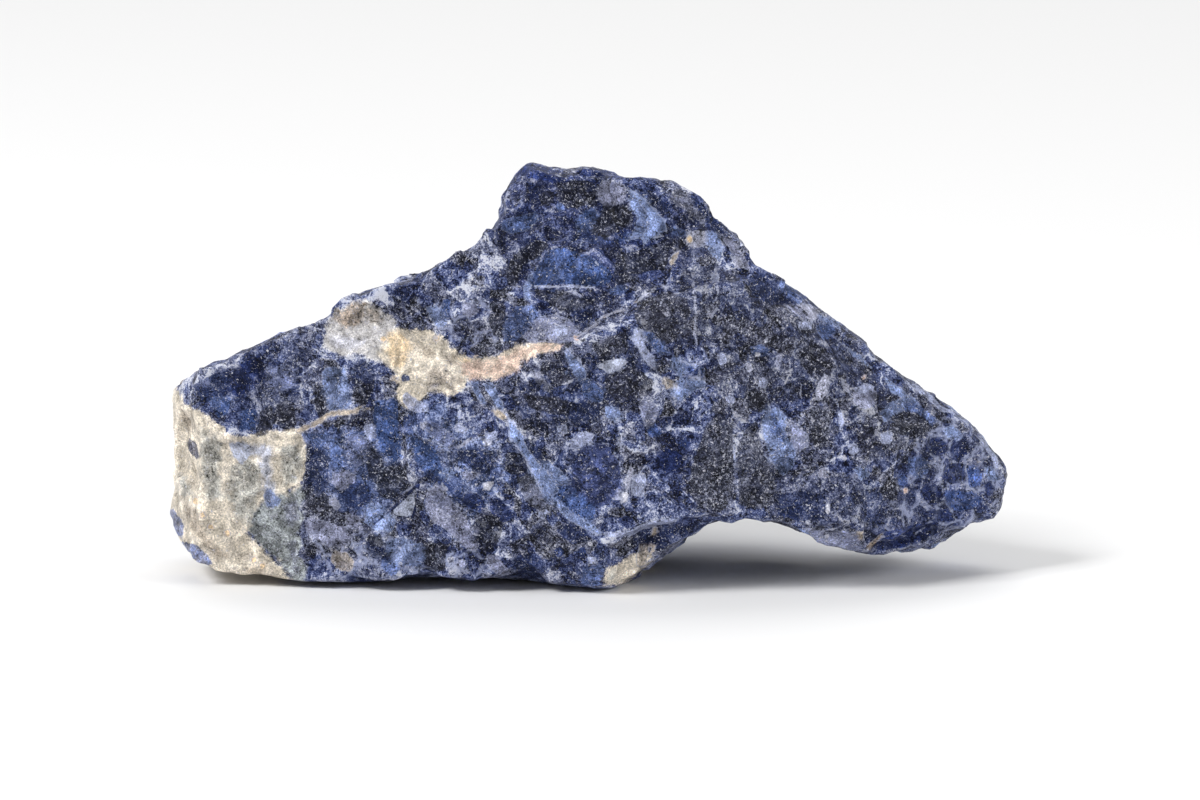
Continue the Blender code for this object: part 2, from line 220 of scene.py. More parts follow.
# The minerals: red, green and blue as 8-bit sRGB, then the share of white sugary grains on them.
Mineral = namedtuple("Mineral", "red green blue sugar")
BLACK = Mineral(24, 26, 38, 0.30)
SOOT = Mineral(40, 41, 52, 0.30)
NAVY = Mineral(32, 42, 76, 0.26)
DEEP = Mineral(43, 56, 97, 0.14)
ROYAL = Mineral(56, 75, 121, 0.16)
BLUE = Mineral(77, 93, 137, 0.18)
MIST = Mineral(94, 102, 136, 0.30)
PERIWINKLE = Mineral(108, 122, 160, 0.14)
PALE = Mineral(146, 153, 182, 0.14)
LAVENDER = Mineral(122, 125, 148, 0.16)
SILVER = Mineral(146, 148, 166, 0.20)
WHITE = Mineral(205, 205, 216, 0.20)
CREAM = Mineral(216, 206, 190, 0.08)
SAND = Mineral(172, 160, 146, 0.12)
PINK = Mineral(204, 177, 163, 0.08)
OCHRE = Mineral(212, 188, 154, 0.08)
RUST = Mineral(168, 128, 104, 0.10)
BROWN = Mineral(128, 113, 99, 0.22)
COAL = Mineral(44, 46, 58, 0.42)
FROST = Mineral(122, 127, 156, 0.46)
HAZE = Mineral(172, 178, 198, 0.14)
VIOLET = Mineral(59, 68, 109, 0.20)
AZURE = Mineral(62, 83, 138, 0.10)
INK = Mineral(29, 41, 84, 0.10)
PEARL = Mineral(186, 183, 182, 0.22)
TAN = Mineral(150, 141, 132, 0.20)
SLATE = Mineral(92, 95, 112, 0.26)
LICHEN = Mineral(148, 149, 146, 0.16)
MOSS = Mineral(140, 145, 146, 0.24)

# Broad parts of the stone in one colour, darker over the top block, the right side and the tip and
# lighter blue lower on the left; this is partly the minerals and partly painted light and shade: mineral,
# then the corners, across and down in turn.
MOODS = [
    (SOOT, "650 300 672 272 700 262 735 266 745 290 742 330 720 346 690 350 660 345 646 325"),
    (SOOT, "700 290 760 280 800 300 850 345 890 390 935 400 950 425 930 445 900 460 860 470 850 440"
           " 830 410 810 400 790 410 760 410 740 430 740 505 690 512 683 470 700 440 712 410 710 380"
           " 700 350 690 320"),
    (INK, "495 160 560 172 640 184 700 200 730 230 705 264 640 288 615 305 560 310 520 300 500 260"
          " 480 220"),
    (NAVY, "505 395 560 350 620 345 660 350 650 380 620 410 560 440 525 430"),
    (DEEP, "560 440 610 435 625 460 625 500 600 512 560 500 545 470"),
    (NAVY, "240 350 320 320 300 400 262 430 215 410 200 395 225 370"),
    (BLUE, "400 400 440 395 470 430 500 440 510 480 480 520 430 500 405 450"),
    (BLUE, "310 430 400 420 405 500 380 520 340 515 310 500"),
    (NAVY, "760 480 860 470 920 500 900 545 860 550 800 525 765 520"),
    (INK, "900 470 915 435 945 415 985 440 1004 470 998 505 970 525 920 545 880 550 890 510"),
]
# Parts where pale seams run between the crystals.
NETWORKS = [
    "900 470 915 430 945 415 985 440 1004 470 998 505 970 525 920 550 870 552 890 510",
    "300 525 360 530 420 545 500 550 500 580 320 578",
    "420 300 500 300 510 345 440 345",
]
# Broad zones of the stone: mineral, then the corners of the outline, across and down in turn.
ZONES = [
    (CREAM, "150 376 176 384 188 402 203 411 222 424 232 433 250 434 270 428 299 428 309 440 309 462"
            " 301 489 282 495 266 502 254 518 249 531 276 560 297 582 250 590 200 580 150 560"),
    (MOSS, "250 514 264 498 282 491 302 485 309 496 302 507 307 519 299 531 305 543 300 555 309 566"
           " 305 584 292 582 276 560 258 546 246 532"),
    (CREAM, "371 345 380 334 392 323 404 328 422 328 434 328 445 336 454 346 462 352 471 355 483 355"
            " 495 355 505 347 517 343 536 339 551 339 564 344 560 351 545 355 531 359 524 363 519 371"
            " 510 376 498 380 489 384 479 380 471 380 468 388 458 395 448 398 438 394 432 394 425 400"
            " 415 411 405 409 397 401 394 391 396 380 391 372 378 362 372 354"),
    (PEARL, "320 340 326 320 336 308 348 300 366 296 380 306 394 316 400 330 392 345 384 356 386 366"
            " 372 362 355 356 340 358 324 352"),
    (CREAM, "606 566 622 559 634 552 652 550 657 557 640 574 625 586 606 588 600 584"),
]
# Single crystals and broken patches of one mineral.
FLAKES = [
    (LAVENDER, "597 187 604 180 613 180 624 183 627 190 625 202 616 205 605 206 598 200"),
    (PERIWINKLE, "628 188 638 192 648 201 657 210 667 223 668 231 658 236 649 242 644 249 641 240"
                 " 635 238 627 244 628 238 634 228 636 217 630 205"),
    (BLUE, "574 220 585 210 596 208 600 217 589 231 577 234"),
    (DEEP, "569 237 591 231 612 240 630 228 628 238 614 246 590 243"),
    (BLUE, "502 220 519 215 536 211 541 220 525 232 510 235 501 229"),
    (INK, "516 158 536 160 556 170 574 178 568 184 548 182 530 178 514 174"),
    (INK, "578 166 600 166 626 174 640 180 620 180 596 177 576 176"),
    (BLUE, "610 289 619 285 631 287 625 293 616 296 605 290"),
    (BLUE, "667 226 676 226 687 231 685 238 672 236"),
    (PERIWINKLE, "708 231 718 232 724 246 720 262 711 256 706 244"),
    (LAVENDER, "722 226 734 240 748 262 752 272 742 268 730 252 720 238"),
    (SLATE, "672 186 684 190 700 206 716 224 704 226 688 214 670 200"),
    (BLACK, "603 205 623 204 634 215 634 222 621 231 605 239 594 235 587 230 596 219"),
    (BLACK, "614 256 632 251 650 246 667 237 685 239 687 246 669 256 667 267 641 274 634 283 616 285"
            " 612 274 616 267"),
    (SILVER, "680 231 694 230 707 231 707 244 698 249 687 246 691 239"),
    (ROYAL, "528 284 536 267 548 250 560 246 575 250 591 256 603 264 613 275 611 282 602 287 580 286"
            " 552 284 536 287"),
    (DEEP, "605 285 616 294 612 296 601 289"),
    (PERIWINKLE, "532 265 535 281 530 292 534 299 525 301 523 289 528 274"),
    # Dark mineral under the royal plate, with painted shadow from the plate's lower edge.
    (BLACK, "534 289 566 289 580 296 594 301 591 317 580 315 560 312 548 303 534 297"),
    (NAVY, "580 303 594 303 594 321 584 330 573 324 573 314"),
    (BLUE, "516 306 534 303 539 314 534 331 516 340 503 342 503 326 509 315"),
    (FROST, "528 322 540 316 557 313 571 320 580 332 576 342 562 344 545 343 530 344 522 338"),
    (BLACK, "521 247 539 239 551 244 539 258 523 265 519 276 516 289 507 285 505 271 514 256"),
    (BLACK, "541 190 551 189 555 196 551 206 542 205 537 196"),
    (BLACK, "556 182 570 178 586 179 598 184 596 196 598 208 584 206 568 209 556 200"),
    (NAVY, "634 187 651 189 664 201 676 210 669 219 659 212 646 199"),
    (NAVY, "746 280 754 272 766 272 780 280 794 294 802 302 790 306 770 304 754 298"),
    (PERIWINKLE, "731 259 735 259 749 268 747 271"),
    (PALE, "710 274 719 273 720 282 711 284"),
    (PERIWINKLE, "426 307 437 304 448 319 448 326 437 328 428 318"),
    (ROYAL, "441 298 450 299 451 318 443 316"),
    (LAVENDER, "461 301 476 303 479 312 472 318 462 315"),
    (LAVENDER, "483 308 492 311 487 318"),
    (BLACK, "490 301 504 298 507 318 501 338 493 336 489 324"),
    (BLUE, "504 318 518 307 532 308 534 315 521 332 510 343 503 338"),
    (PERIWINKLE, "467 379 473 381 480 380 479 387 484 396 489 406 484 407 478 400 472 391"),
    (PERIWINKLE, "482 384 490 380 496 386 500 396 504 406 507 416 498 410 492 400 486 392"),
    (PALE, "507 416 515 419 521 430 510 430"),
    (SOOT, "540 366 548 361 560 360 566 368 574 380 562 386 555 388 548 378 540 374"),
    (SLATE, "528 370 536 371 548 382 556 391 550 394 538 385"),
    (SAND, "490 407 500 409 508 417 503 421 492 414"),
    (PERIWINKLE, "268 486 274 492 282 500 274 512 266 506 262 496"),
    (HAZE, "227 444 240 442 252 446 250 456 243 466 234 458"),
    (NAVY, "188 437 196 443 200 458 197 461 188 451 185 443"),
    (BLUE, "160 506 172 508 181 517 185 531 181 538 170 532 160 520"),
    (BLUE, "180 541 196 544 209 556 214 565 202 566 188 556"),
    (DEEP, "190 386 214 374 232 368 230 390 216 400 202 402"),
    (BLACK, "196 384 204 381 208 392 200 396"),
    (BLACK, "216 378 224 375 228 386 220 392"),
    (INK, "238 364 264 354 264 380 252 390 238 398 230 392 230 376"),
    (ROYAL, "214 399 232 398 228 416 217 418"),
    (MIST, "266 370 287 363 299 370 295 386 280 393 268 386"),
    (BLACK, "261 409 272 405 274 424 266 435 255 437 257 424"),
    (SOOT, "278 399 295 405 297 426 284 430 272 420"),
    (BLUE, "211 397 228 397 222 412 209 409"),
    (ROYAL, "238 408 256 409 255 431 240 431"),
    (PERIWINKLE, "322 367 347 367 353 405 337 414 328 412 322 389"),
    (BLACK, "316 386 324 393 326 414 318 420 314 401"),
    (NAVY, "351 367 362 359 375 367 375 382 351 384"),
    (BLACK, "351 383 375 382 370 401 364 407 353 399"),
    (BLUE, "301 433 328 433 326 447 312 449 303 443"),
    (BLUE, "328 436 336 438 344 452 346 464 336 474 330 466"),
    (NAVY, "308 449 326 449 330 481 322 497 305 487 310 468"),
    (ROYAL, "372 401 398 397 398 424 402 455 395 464 381 453 374 432"),
    (BLACK, "366 458 375 453 385 462 379 479 368 481"),
    (BLACK, "374 474 391 464 404 470 411 485 397 499 379 500"),
    (HAZE, "391 512 404 499 414 488 416 504 412 516 400 517"),
    (LAVENDER, "303 516 324 520 346 527 354 539 344 549 318 544 306 533"),
    (TAN, "332 550 346 551 357 561 352 573 338 571 329 560"),
    (LAVENDER, "346 512 360 516 364 530 352 534 344 524"),
    (BLACK, "301 535 316 544 316 562 305 556"),
    (SOOT, "307 500 330 504 331 516 310 512"),
    (SILVER, "421 420 437 428 435 435 419 428"),
    (ROYAL, "410 435 429 443 441 458 445 481 429 474 414 462"),
    (NAVY, "356 533 385 548 395 558 375 560 360 544"),
    (SOOT, "420 541 447 543 445 572 422 570"),
    (LAVENDER, "427 490 440 484 452 499 465 516 475 536 482 552 465 549 447 531 431 520 424 506"),
    (DEEP, "420 468 431 472 452 486 470 499 486 506 482 513 466 506 445 490 427 479"),
    (DEEP, "490 499 506 506 513 520 502 522 491 511"),
    (BLACK, "474 520 487 514 500 517 503 530 498 545 487 552 480 546 474 532"),
    (NAVY, "454 452 481 447 495 459 491 477 465 466"),
    (WHITE, "482 482 495 481 491 491 484 491"),
    (LAVENDER, "461 470 477 471 480 481 463 480"),
    (SILVER, "456 447 468 438 479 434 480 437 469 443 458 450"),
    (WHITE, "482 441 491 440 491 447 483 446"),
    # Dark patches to the left of the pale ledge: dark mineral with painted shadow under the ledge.
    (BLACK, "504 452 518 452 525 461 531 472 516 475 506 472"),
    (SLATE, "516 475 532 474 543 495 556 506 554 513 541 513 527 504 520 491"),
    (NAVY, "561 522 572 520 588 531 588 541 574 545 559 536 556 531"),
    (NAVY, "513 556 527 552 545 563 545 577 531 579 516 568"),
    (LAVENDER, "486 554 499 556 513 575 497 575 486 566"),
    (LAVENDER, "454 559 466 559 465 568 456 568"),
    (PALE, "586 556 599 557 591 565"),
    (PERIWINKLE, "531 458 540 456 552 462 566 474 572 486 560 486 546 486 538 474"),
    (INK, "462 494 476 492 486 500 482 513 468 508 460 502"),
    (INK, "489 499 500 498 512 510 510 524 498 522 490 514"),
    (PERIWINKLE, "507 420 514 422 524 436 529 450 538 463 547 479 554 488 564 500 579 512 592 523"
                 " 606 534 595 535 581 528 568 521 555 507 542 496 533 480 526 466 519 453 508 442"),
    (PERIWINKLE, "562 346 569 350 575 356 583 364 589 374 586 379 576 378 570 370 566 360"),
    (BLUE, "578 382 586 378 596 383 604 391 603 404 594 404 584 398"),
    (HAZE, "594 366 603 361 612 359 621 357 630 361 624 367 616 371 608 374 601 370"),
    (SOOT, "603 374 616 371 630 364 642 372 654 380 652 394 636 400 618 402 606 392"),
    (BLUE, "636 329 656 331 663 343 673 354 660 357 654 352 646 340"),
    (PALE, "627 337 634 332 641 336 648 350 656 357 653 371 643 359 637 348"),
    (SOOT, "656 360 664 357 671 362 669 371 660 373 655 367"),
    (AZURE, "645 426 656 423 664 432 660 438 648 437"),
    (INK, "656 452 668 448 680 452 686 462 680 472 666 474 656 464"),
    (INK, "676 440 690 439 692 446 682 449"),
    (BLUE, "750 347 762 343 770 350 766 358 752 357"),
    (PERIWINKLE, "669 357 679 356 693 364 690 371 682 376 674 373"),
    (BLUE, "683 366 694 363 704 368 708 375 701 380 689 377"),
    (PERIWINKLE, "672 379 687 378 706 380 706 387 692 393 681 404 673 397 664 394 675 387"),
    (SILVER, "529 374 536 371 546 380 553 388 552 392 543 388 535 380"),
    (BLACK, "541 366 555 363 562 357 564 369 571 377 555 384 546 374"),
    (TAN, "660 374 674 381 676 388 665 390 660 382"),
    (FROST, "639 399 653 401 660 410 654 424 644 427 640 416"),
    (PALE, "568 449 572 438 579 431 588 431 595 434 592 444 580 450"),
    (VIOLET, "581 445 607 443 618 459 622 477 622 491 607 504 588 506 568 491 575 465"),
    (ROYAL, "547 490 560 484 576 486 592 496 596 512 590 526 576 521 560 507"),
    (SILVER, "630 459 634 471 630 486 624 504 618 503 624 486"),
    (PALE, "631 475 646 472 647 486 642 499 631 495"),
    (COAL, "690 470 698 446 706 424 720 414 732 424 734 450 733 480 731 502 718 511 700 507 689 494"),
    (COAL, "737 446 746 428 757 420 761 440 768 462 778 486 774 504 760 510 740 506 737 480"),
    (BLACK, "742 392 756 388 768 402 764 414 750 412"),
    (BLUE, "581 568 600 563 606 568 600 586 581 586"),
    (NAVY, "632 534 649 529 674 521 688 525 695 531 684 538 661 552 650 550 632 545"),
    (RUST, "760 522 775 523 774 527 761 527"),
    (PERIWINKLE, "760 416 775 405 787 416 787 432 797 452 795 467 782 478 770 460 763 438"),
    (BLACK, "798 350 812 343 827 348 826 366 812 374 800 366"),
    (COAL, "812 408 826 404 832 420 828 446 816 450 810 432"),
    (LAVENDER, "852 390 866 384 878 392 876 406 862 410 852 402"),
    (PERIWINKLE, "878 412 890 402 904 396 910 402 898 414 884 424"),
    (SILVER, "796 303 812 304 822 314 814 322 800 318"),
    (FROST, "804 526 824 530 842 530 862 532 868 546 850 552 824 548 808 538"),
    (FROST, "787 423 797 423 809 434 809 447 799 453 790 441"),
    (SILVER, "815 388 824 373 830 377 829 389 822 401 814 401"),
    (SILVER, "840 377 843 373 848 383 851 394 846 393 841 385"),
    (BLUE, "815 325 828 322 839 331 826 341 817 334"),
    (PALE, "797 322 813 320 812 330 799 331"),
    (BLUE, "768 282 785 280 806 296 800 305 780 300"),
    (PALE, "854 388 864 383 875 385 872 397 862 407 854 404"),
    (PALE, "878 434 888 429 895 436 891 444 881 444"),
    (BLACK, "892 415 913 405 935 416 932 429 916 439 900 436 892 426"),
    (BLACK, "864 429 872 424 876 432 872 437 865 434"),
    (BLACK, "879 490 887 479 899 477 902 490 894 500 883 499"),
    (NAVY, "776 495 800 490 827 496 826 518 800 523 778 515"),
    (PERIWINKLE, "798 528 813 530 824 544 814 544 803 536"),
    (SAND, "855 530 865 530 864 543 856 542"),
    (INK, "950 447 957 444 966 447 968 454 963 461 953 460 949 454"),
    (INK, "926 441 937 437 947 442 949 452 940 456 929 453 924 447"),
    (BLUE, "906 458 920 455 930 461 928 474 918 480 908 474"),
    (INK, "943 466 955 462 965 463 966 480 952 486 943 480"),
    (AZURE, "966 463 978 466 983 478 980 488 968 487 967 476"),
    (AZURE, "945 490 960 490 975 492 985 498 978 507 960 512 946 506"),
    (INK, "924 487 936 484 943 490 943 502 933 508 923 500"),
    (INK, "984 484 992 482 996 489 992 496 985 494"),
    (PERIWINKLE, "984 465 994 468 1001 478 998 483 988 480 984 474"),
    (INK, "926 511 945 508 957 514 950 522 930 522 922 516"),
    (AZURE, "898 470 908 478 908 486 898 486"),
    (NAVY, "900 490 914 486 918 498 904 502"),
    (INK, "871 547 884 532 903 527 922 523 940 522 936 534 912 546 895 550 880 552"),
    (PERIWINKLE, "940 428 952 424 962 432 964 441 954 440 946 438"),
    (PALE, "363 425 372 422 378 430 374 440 364 438"),
    (MIST, "343 437 358 434 372 440 370 460 356 468 345 456"),
    (BLACK, "364 452 374 446 382 458 380 474 368 476"),
    (LAVENDER, "331 472 344 468 357 474 354 490 340 492 331 484"),
    (SOOT, "305 491 318 488 330 496 330 512 316 516 304 506"),
    (SILVER, "329 497 336 496 342 508 336 513 330 506"),
    (DEEP, "343 484 358 480 372 486 370 506 354 511 342 500"),
    (PERIWINKLE, "364 504 380 502 390 512 398 520 392 532 376 532 364 522"),
    (PERIWINKLE, "384 540 402 536 424 545 432 558 420 568 400 566 386 556"),
    (BLACK, "368 534 380 533 386 545 380 554 369 549"),
    (BLUE, "381 556 396 558 403 570 392 577 381 570"),
    (NAVY, "306 434 320 448 318 466 306 470"),
    (PALE, "404 390 418 400 430 404 428 414 412 412 402 402"),
    (MIST, "426 418 440 424 452 434 462 446 450 450 436 440 424 430"),
    (PALE, "456 421 470 428 464 436 454 430"),
    (PALE, "482 433 496 430 500 438 488 442"),
    (PERIWINKLE, "436 470 450 466 458 474 448 480 438 478"),
    (PALE, "538 508 548 512 546 522 537 518"),
    (PALE, "556 426 566 424 570 432 560 438"),
    (PERIWINKLE, "604 404 618 408 626 420 616 424 604 416"),
    (PALE, "610 440 620 436 626 446 618 452"),
    (PALE, "716 356 724 352 728 362 720 366"),
    (SILVER, "744 364 750 360 756 372 750 376"),
    (PALE, "760 376 768 380 766 390 758 386"),
    (PALE, "724 396 732 392 736 402 728 406"),
    (LAVENDER, "778 350 784 356 780 372 774 366"),
    (PALE, "836 412 842 410 846 424 840 430"),
    (PALE, "846 444 856 442 860 452 850 456"),
    (SILVER, "816 470 826 466 830 476 820 480"),
    (PERIWINKLE, "852 468 866 464 872 476 860 482"),
    (PERIWINKLE, "880 372 900 388 918 400 925 412 910 404 890 392"),
    (PERIWINKLE, "845 345 862 356 876 372 864 366 850 354"),
    (BLUE, "898 396 920 405 940 420 930 428 905 412"),
    (PERIWINKLE, "800 300 822 315 838 320 842 332 822 322 806 312"),
    (LAVENDER, "782 300 800 305 815 318 805 322 790 312"),
    (NAVY, "690 196 705 204 722 222 735 240 722 236 706 228 694 212"),
    (SOOT, "633 314 647 299 666 290 685 297 692 310 687 322 692 334 674 341 661 339 650 346 641 333"),
    (SOOT, "590 345 625 330 630 352 600 358"),
    (SOOT, "520 392 540 396 556 396 570 402 566 416 548 414 530 408"),
    (NAVY, "566 404 588 402 600 410 596 424 578 428 566 418"),
    (NAVY, "506 441 519 436 535 441 542 452 552 462 540 475 528 468 514 456"),
]
# Soft stains on the zones.
BLUSHES = [
    (LICHEN, "228 466 250 452 264 470 262 500 250 528 234 520 226 495"),
    (LICHEN, "200 425 226 438 222 470 226 500 206 505 196 460"),
    (LICHEN, "277 445 303 440 306 462 298 486 282 488 279 470"),
    (HAZE, "225 440 238 439 255 442 273 443 275 480 282 500 265 503 260 488 255 459 248 458 243 466"
           " 230 456"),
    (SLATE, "282 500 300 495 303 520 292 530 280 520"),
    (SAND, "184 500 200 508 214 540 236 560 214 562 190 535 180 515"),
    (SAND, "176 398 190 410 200 425 190 440 178 420"),
    (SAND, "240 566 262 560 284 572 262 578 244 576"),
    (LICHEN, "176 470 190 475 196 495 182 500 175 490"),
    (SAND, "415 345 432 340 440 355 425 362"),
    (SAND, "386 372 400 372 404 395 396 398"),
    (OCHRE, "382 336 394 328 408 332 416 344 410 362 400 374 390 368 384 352"),
    (OCHRE, "446 350 462 356 478 358 488 362 474 368 456 364"),
    (TAN, "424 366 437 360 454 369 468 383 454 394 437 388 420 397"),
    (TAN, "440 348 452 352 458 366 448 370 440 358"),
    (BROWN, "330 316 340 306 350 299 366 297 371 311 364 324 352 331 340 329 332 324"),
    (TAN, "352 302 376 304 388 318 380 330 368 326"),
    (WHITE, "324 340 333 332 349 334 372 338 374 346 352 352 336 352"),
    (LAVENDER, "376 352 388 362 392 376 384 372"),
    (LAVENDER, "428 382 440 384 440 394 430 396"),
    (PINK, "454 362 476 355 492 358 506 350 520 343 548 339 568 344 560 352 530 360 520 374 500 382"
           " 484 382 466 384"),
    (RUST, "462 374 472 372 474 378 466 380"),
    (RUST, "478 360 492 356 508 352 500 360 488 362"),
    (RUST, "480 378 496 374 500 378 488 383"),
    (RUST, "512 350 526 346 524 350"),
    (LICHEN, "606 570 616 566 618 584 606 587"),
    (SLATE, "284 540 296 538 304 575 292 578"),
]
# Smaller patches that lie within the flakes.
INLAYS = [
    (SAND, "686 236 691 233 694 240 690 244"),
    (TAN, "668 263 672 253 680 250 678 259 671 268"),
    (SILVER, "729 255 740 257 746 268 736 269"),
    (SILVER, "662 312 668 309 672 316 666 319"),
    (SILVER, "706 312 713 311 713 319 708 320"),
    (PALE, "632 326 640 328 650 336 656 344 646 342 636 336"),
    (PALE, "553 326 567 325 568 335 556 339"),
    (BLACK, "612 206 624 206 633 216 630 223 620 228 612 222"),
    (WHITE, "622 492 630 490 628 503 620 504"),
    (DEEP, "683 365 699 368 703 379 690 376"),
    (PERIWINKLE, "671 359 680 360 689 364 684 371 681 379 676 376 672 368"),
    (PERIWINKLE, "686 381 696 379 706 380 707 386 694 392 684 400 677 397 673 393 682 388"),
    (PERIWINKLE, "628 189 638 192 648 202 657 211 667 224 667 230 657 235 648 240 644 246 641 236"
                 " 647 226 646 214 638 203"),
    (BLUE, "636 330 655 333 662 344 670 353 660 355 650 344 640 337"),
    (PERIWINKLE, "508 418 514 423 523 436 529 450 537 462 547 470 556 482 560 492 552 497 543 488"
                 " 534 476 526 462 518 448 509 436"),
    (NAVY, "636 538 655 534 672 528 676 532 660 545 640 548"),
]
# Streaks: mineral, width in mm, then the corners of the line.
STREAKS = [
    (PALE, 0.32, "508 421 511 441 521 452 528 465 535 479 544 495 557 506 569 520 582 527 596 534"
                 " 607 534"),
    (PALE, 0.25, "469 380 476 396 482 405 490 406"),
    (PALE, 0.25, "626 190 640 199 656 212 667 228 666 234 655 238 642 247"),
    (PALE, 0.25, "526 288 537 266 550 248"),
    (PALE, 0.25, "561 262 568 268 574 277"),
    (PALE, 0.25, "593 258 600 266 607 274"),
    (PALE, 0.3, "555 173 564 177 573 180"),
    (PALE, 0.3, "673 185 666 193 661 201"),
    (PALE, 0.3, "581 445 607 443 619 459 623 477"),
    (PALE, 0.25, "671 359 690 363 700 367 701 380 705 389 689 392 680 403"),
    (PALE, 0.3, "760 417 763 437 770 459 782 478"),
    (PALE, 0.3, "669 358 676 372 688 377 706 380"),
    (PALE, 0.3, "664 394 675 387 673 379"),
    (BLUE, 0.9, "772 414 778 426 783 440"),
    (SILVER, 0.3, "375 474 391 463 405 470 413 486 391 505"),
    (SILVER, 0.3, "427 490 441 483 453 499 466 516 476 536"),
    (PALE, 0.25, "310 518 325 521 350 527 356 540"),
    (PALE, 0.3, "564 354 570 347 580 360 587 369"),
    (SAND, 0.9, "299 431 318 422 328 414 353 412 372 405"),
    (PALE, 0.5, "535 286 551 286 594 287"),
    (WHITE, 0.35, "552 392 562 385 574 380 588 379 598 383 603 390"),
    (PALE, 0.3, "528 367 538 372 547 381 555 391"),
    (PALE, 0.25, "562 346 568 352 577 360 587 370 588 377"),
    (PALE, 0.25, "467 380 473 391 482 404 490 407"),
    (PALE, 0.25, "492 382 498 393 505 408 510 421"),
    (WHITE, 0.25, "604 338 596 345 590 356"),
    # A painted highlight along the edge of the step.
    (SILVER, 0.55, "577 337 590 329 603 317 626 307 647 295 664 283 684 273"),
    (SAND, 0.35, "583 334 603 318 626 308 640 300"),
    (SILVER, 0.5, "693 272 694 290 696 310 695 335"),
    (SILVER, 0.5, "716 268 718 285 717 300 719 325"),
    (SILVER, 0.35, "684 273 672 280 664 292 660 306"),
    (PALE, 0.9, "607 534 629 534 643 527 661 522 673 521"),
    (BLACK, 0.4, "398 395 400 410 403 430 407 468"),
    (INK, 0.45, "375 524 390 511 406 496 419 484"),
    (INK, 0.45, "419 483 417 500 413 517"),
    (PALE, 0.35, "696 320 697 350 695 380"),
    (PALE, 0.35, "734 441 735 470 733 498"),
    (PALE, 0.5, "633 331 640 350 650 366"),
    (PALE, 0.8, "982 442 993 455 998 467"),
    (PALE, 0.6, "943 409 959 415 967 423"),
    (PALE, 0.8, "913 385 929 397 943 410"),
    (BROWN, 0.8, "869 547 876 541 882 535"),
    (PALE, 0.4, "932 481 940 475 945 463 959 461 972 453 984 445"),
    (PALE, 0.4, "939 475 944 488 960 488 983 491"),
    (PALE, 0.3, "920 484 933 481 942 487 944 506"),
    (PALE, 0.3, "921 456 925 438 938 433 950 440 949 456"),
    (PALE, 0.3, "966 463 967 476 968 488"),
    (PALE, 0.3, "880 540 895 534 910 538 925 528"),
    (PALE, 0.35, "650 481 656 490 664 498 674 504"),
    (PALE, 0.35, "656 476 664 486 672 492"),
    (SILVER, 0.3, "802 381 800 392 803 404"),
    (SAND, 0.9, "655 529 653 550"),
    (TAN, 1.6, "645 545 641 562"),
    (SILVER, 0.5, "721 336 721 347"),
    (WHITE, 0.7, "828 506 828 512"),
    (BLACK, 0.28, "423 420 431 432"),
    (BLACK, 0.28, "428 421 435 432"),
    (WHITE, 0.28, "425 421 433 433"),
    (BLACK, 0.28, "384 476 396 492"),
    (BLACK, 0.28, "389 473 401 489"),
    (BLACK, 0.28, "394 470 406 486"),
    (BLACK, 0.28, "379 480 391 496"),
    (BLACK, 0.3, "425 479 445 493 466 509 482 515"),
]
# Spots: mineral, radius in steps, then the centres.
SPOTS = [
    (OCHRE, 4.4, "690 240 196 501 203 515 210 527 227 533 262 566 254 560 384 340 436 338"),
    (SAND, 2.5, "676 255 734 267 552 472 574 479 978 462 827 541 876 488"),
    (ROYAL, 5, "406 378 587 214"),
    (BLUE, 5, "560 207 774 431"),
    (BLACK, 3, "459 349 583 340 568 464 599 474"),
    (DEEP, 5.5, "559 552 582 552 684 443"),
    (PINK, 3.5, "864 377 576 338 906 491"),
    (WHITE, 3.5, "767 341 758 355 844 458 827 535"),
]

# The two ramps that crystals are coloured by: places on the ramp, then 8-bit sRGB colours.
GREY_STOPS = [
    (0.0, (14, 14, 20)), (0.12, (32, 33, 44)), (0.30, (58, 60, 76)), (0.5, (86, 89, 110)),
    (0.70, (120, 124, 146)), (0.88, (164, 167, 186)), (1.0, (220, 220, 226)),
]
BLUE_STOPS = [
    (0.0, (8, 11, 28)), (0.12, (22, 28, 56)), (0.30, (44, 53, 92)), (0.5, (72, 83, 126)),
    (0.70, (106, 117, 160)), (0.88, (152, 161, 196)), (1.0, (210, 214, 230)),
]
# The kinds of crystal, by a share from 0 to 1: value, share of sugary grains and blueness.
KINDS = [
    (0.0, (0.18, 0.42, 0.10)), (0.16, (0.24, 0.34, 0.40)), (0.30, (0.32, 0.16, 1.00)),
    (0.46, (0.38, 0.30, 0.50)), (0.60, (0.43, 0.14, 1.00)), (0.74, (0.49, 0.32, 0.40)),
    (0.86, (0.57, 0.10, 0.95)), (0.95, (0.68, 0.18, 0.70)),
]

# The stage: a floor, and lamps with a share of the lamp power, a width and a place in metres.
FLOOR_WIDTH = 8.0
FLOOR_SHADE = 0.9
FLOOR_ROUGHNESS = 0.9
FLOOR_SPECULAR = 0.1
SKY_LIGHT = 0.30
LAMP_POWER = 6.7
LAMPS_AIM = (0, 0, 0.02)
LAMPS = [
    ("lamp on the left", 1.6, 0.4, (-0.75, -0.45, 0.85)),
    ("lamp on the right", 0.7, 0.5, (0.95, -0.35, 0.45)),
    ("overhead lamp", 4.5, 2.0, (0.0, 1.5, 2.0)),
]


def linear(colour, alpha=1.0):
    """An 8-bit sRGB colour as the linear light that shaders count in."""
    shares = np.array(colour) / 255
    low = shares / 12.92
    high = ((shares + 0.055) / 1.055) ** 2.4
    return (*np.where(shares <= 0.04045, low, high), alpha)


def places_of(text):
    """Pairs of numbers in a text, as places on the drawing."""
    return np.array(text.split(), float).reshape(-1, 2)


def on_drawing(place):
    """Where the eye sees places of the stone, in steps across and down the drawing."""
    from_aim = place - AIM
    steps = PICTURE_SIZE[0] * LENS / SENSOR / (EYE_DISTANCE - from_aim @ TOWARDS_EYE)
    across = PICTURE_SIZE[0] / 2 + steps * from_aim[:, 0]
    down = PICTURE_SIZE[1] / 2 - steps * (from_aim @ PICTURE_UP)
    return np.stack((across, down), axis=1)


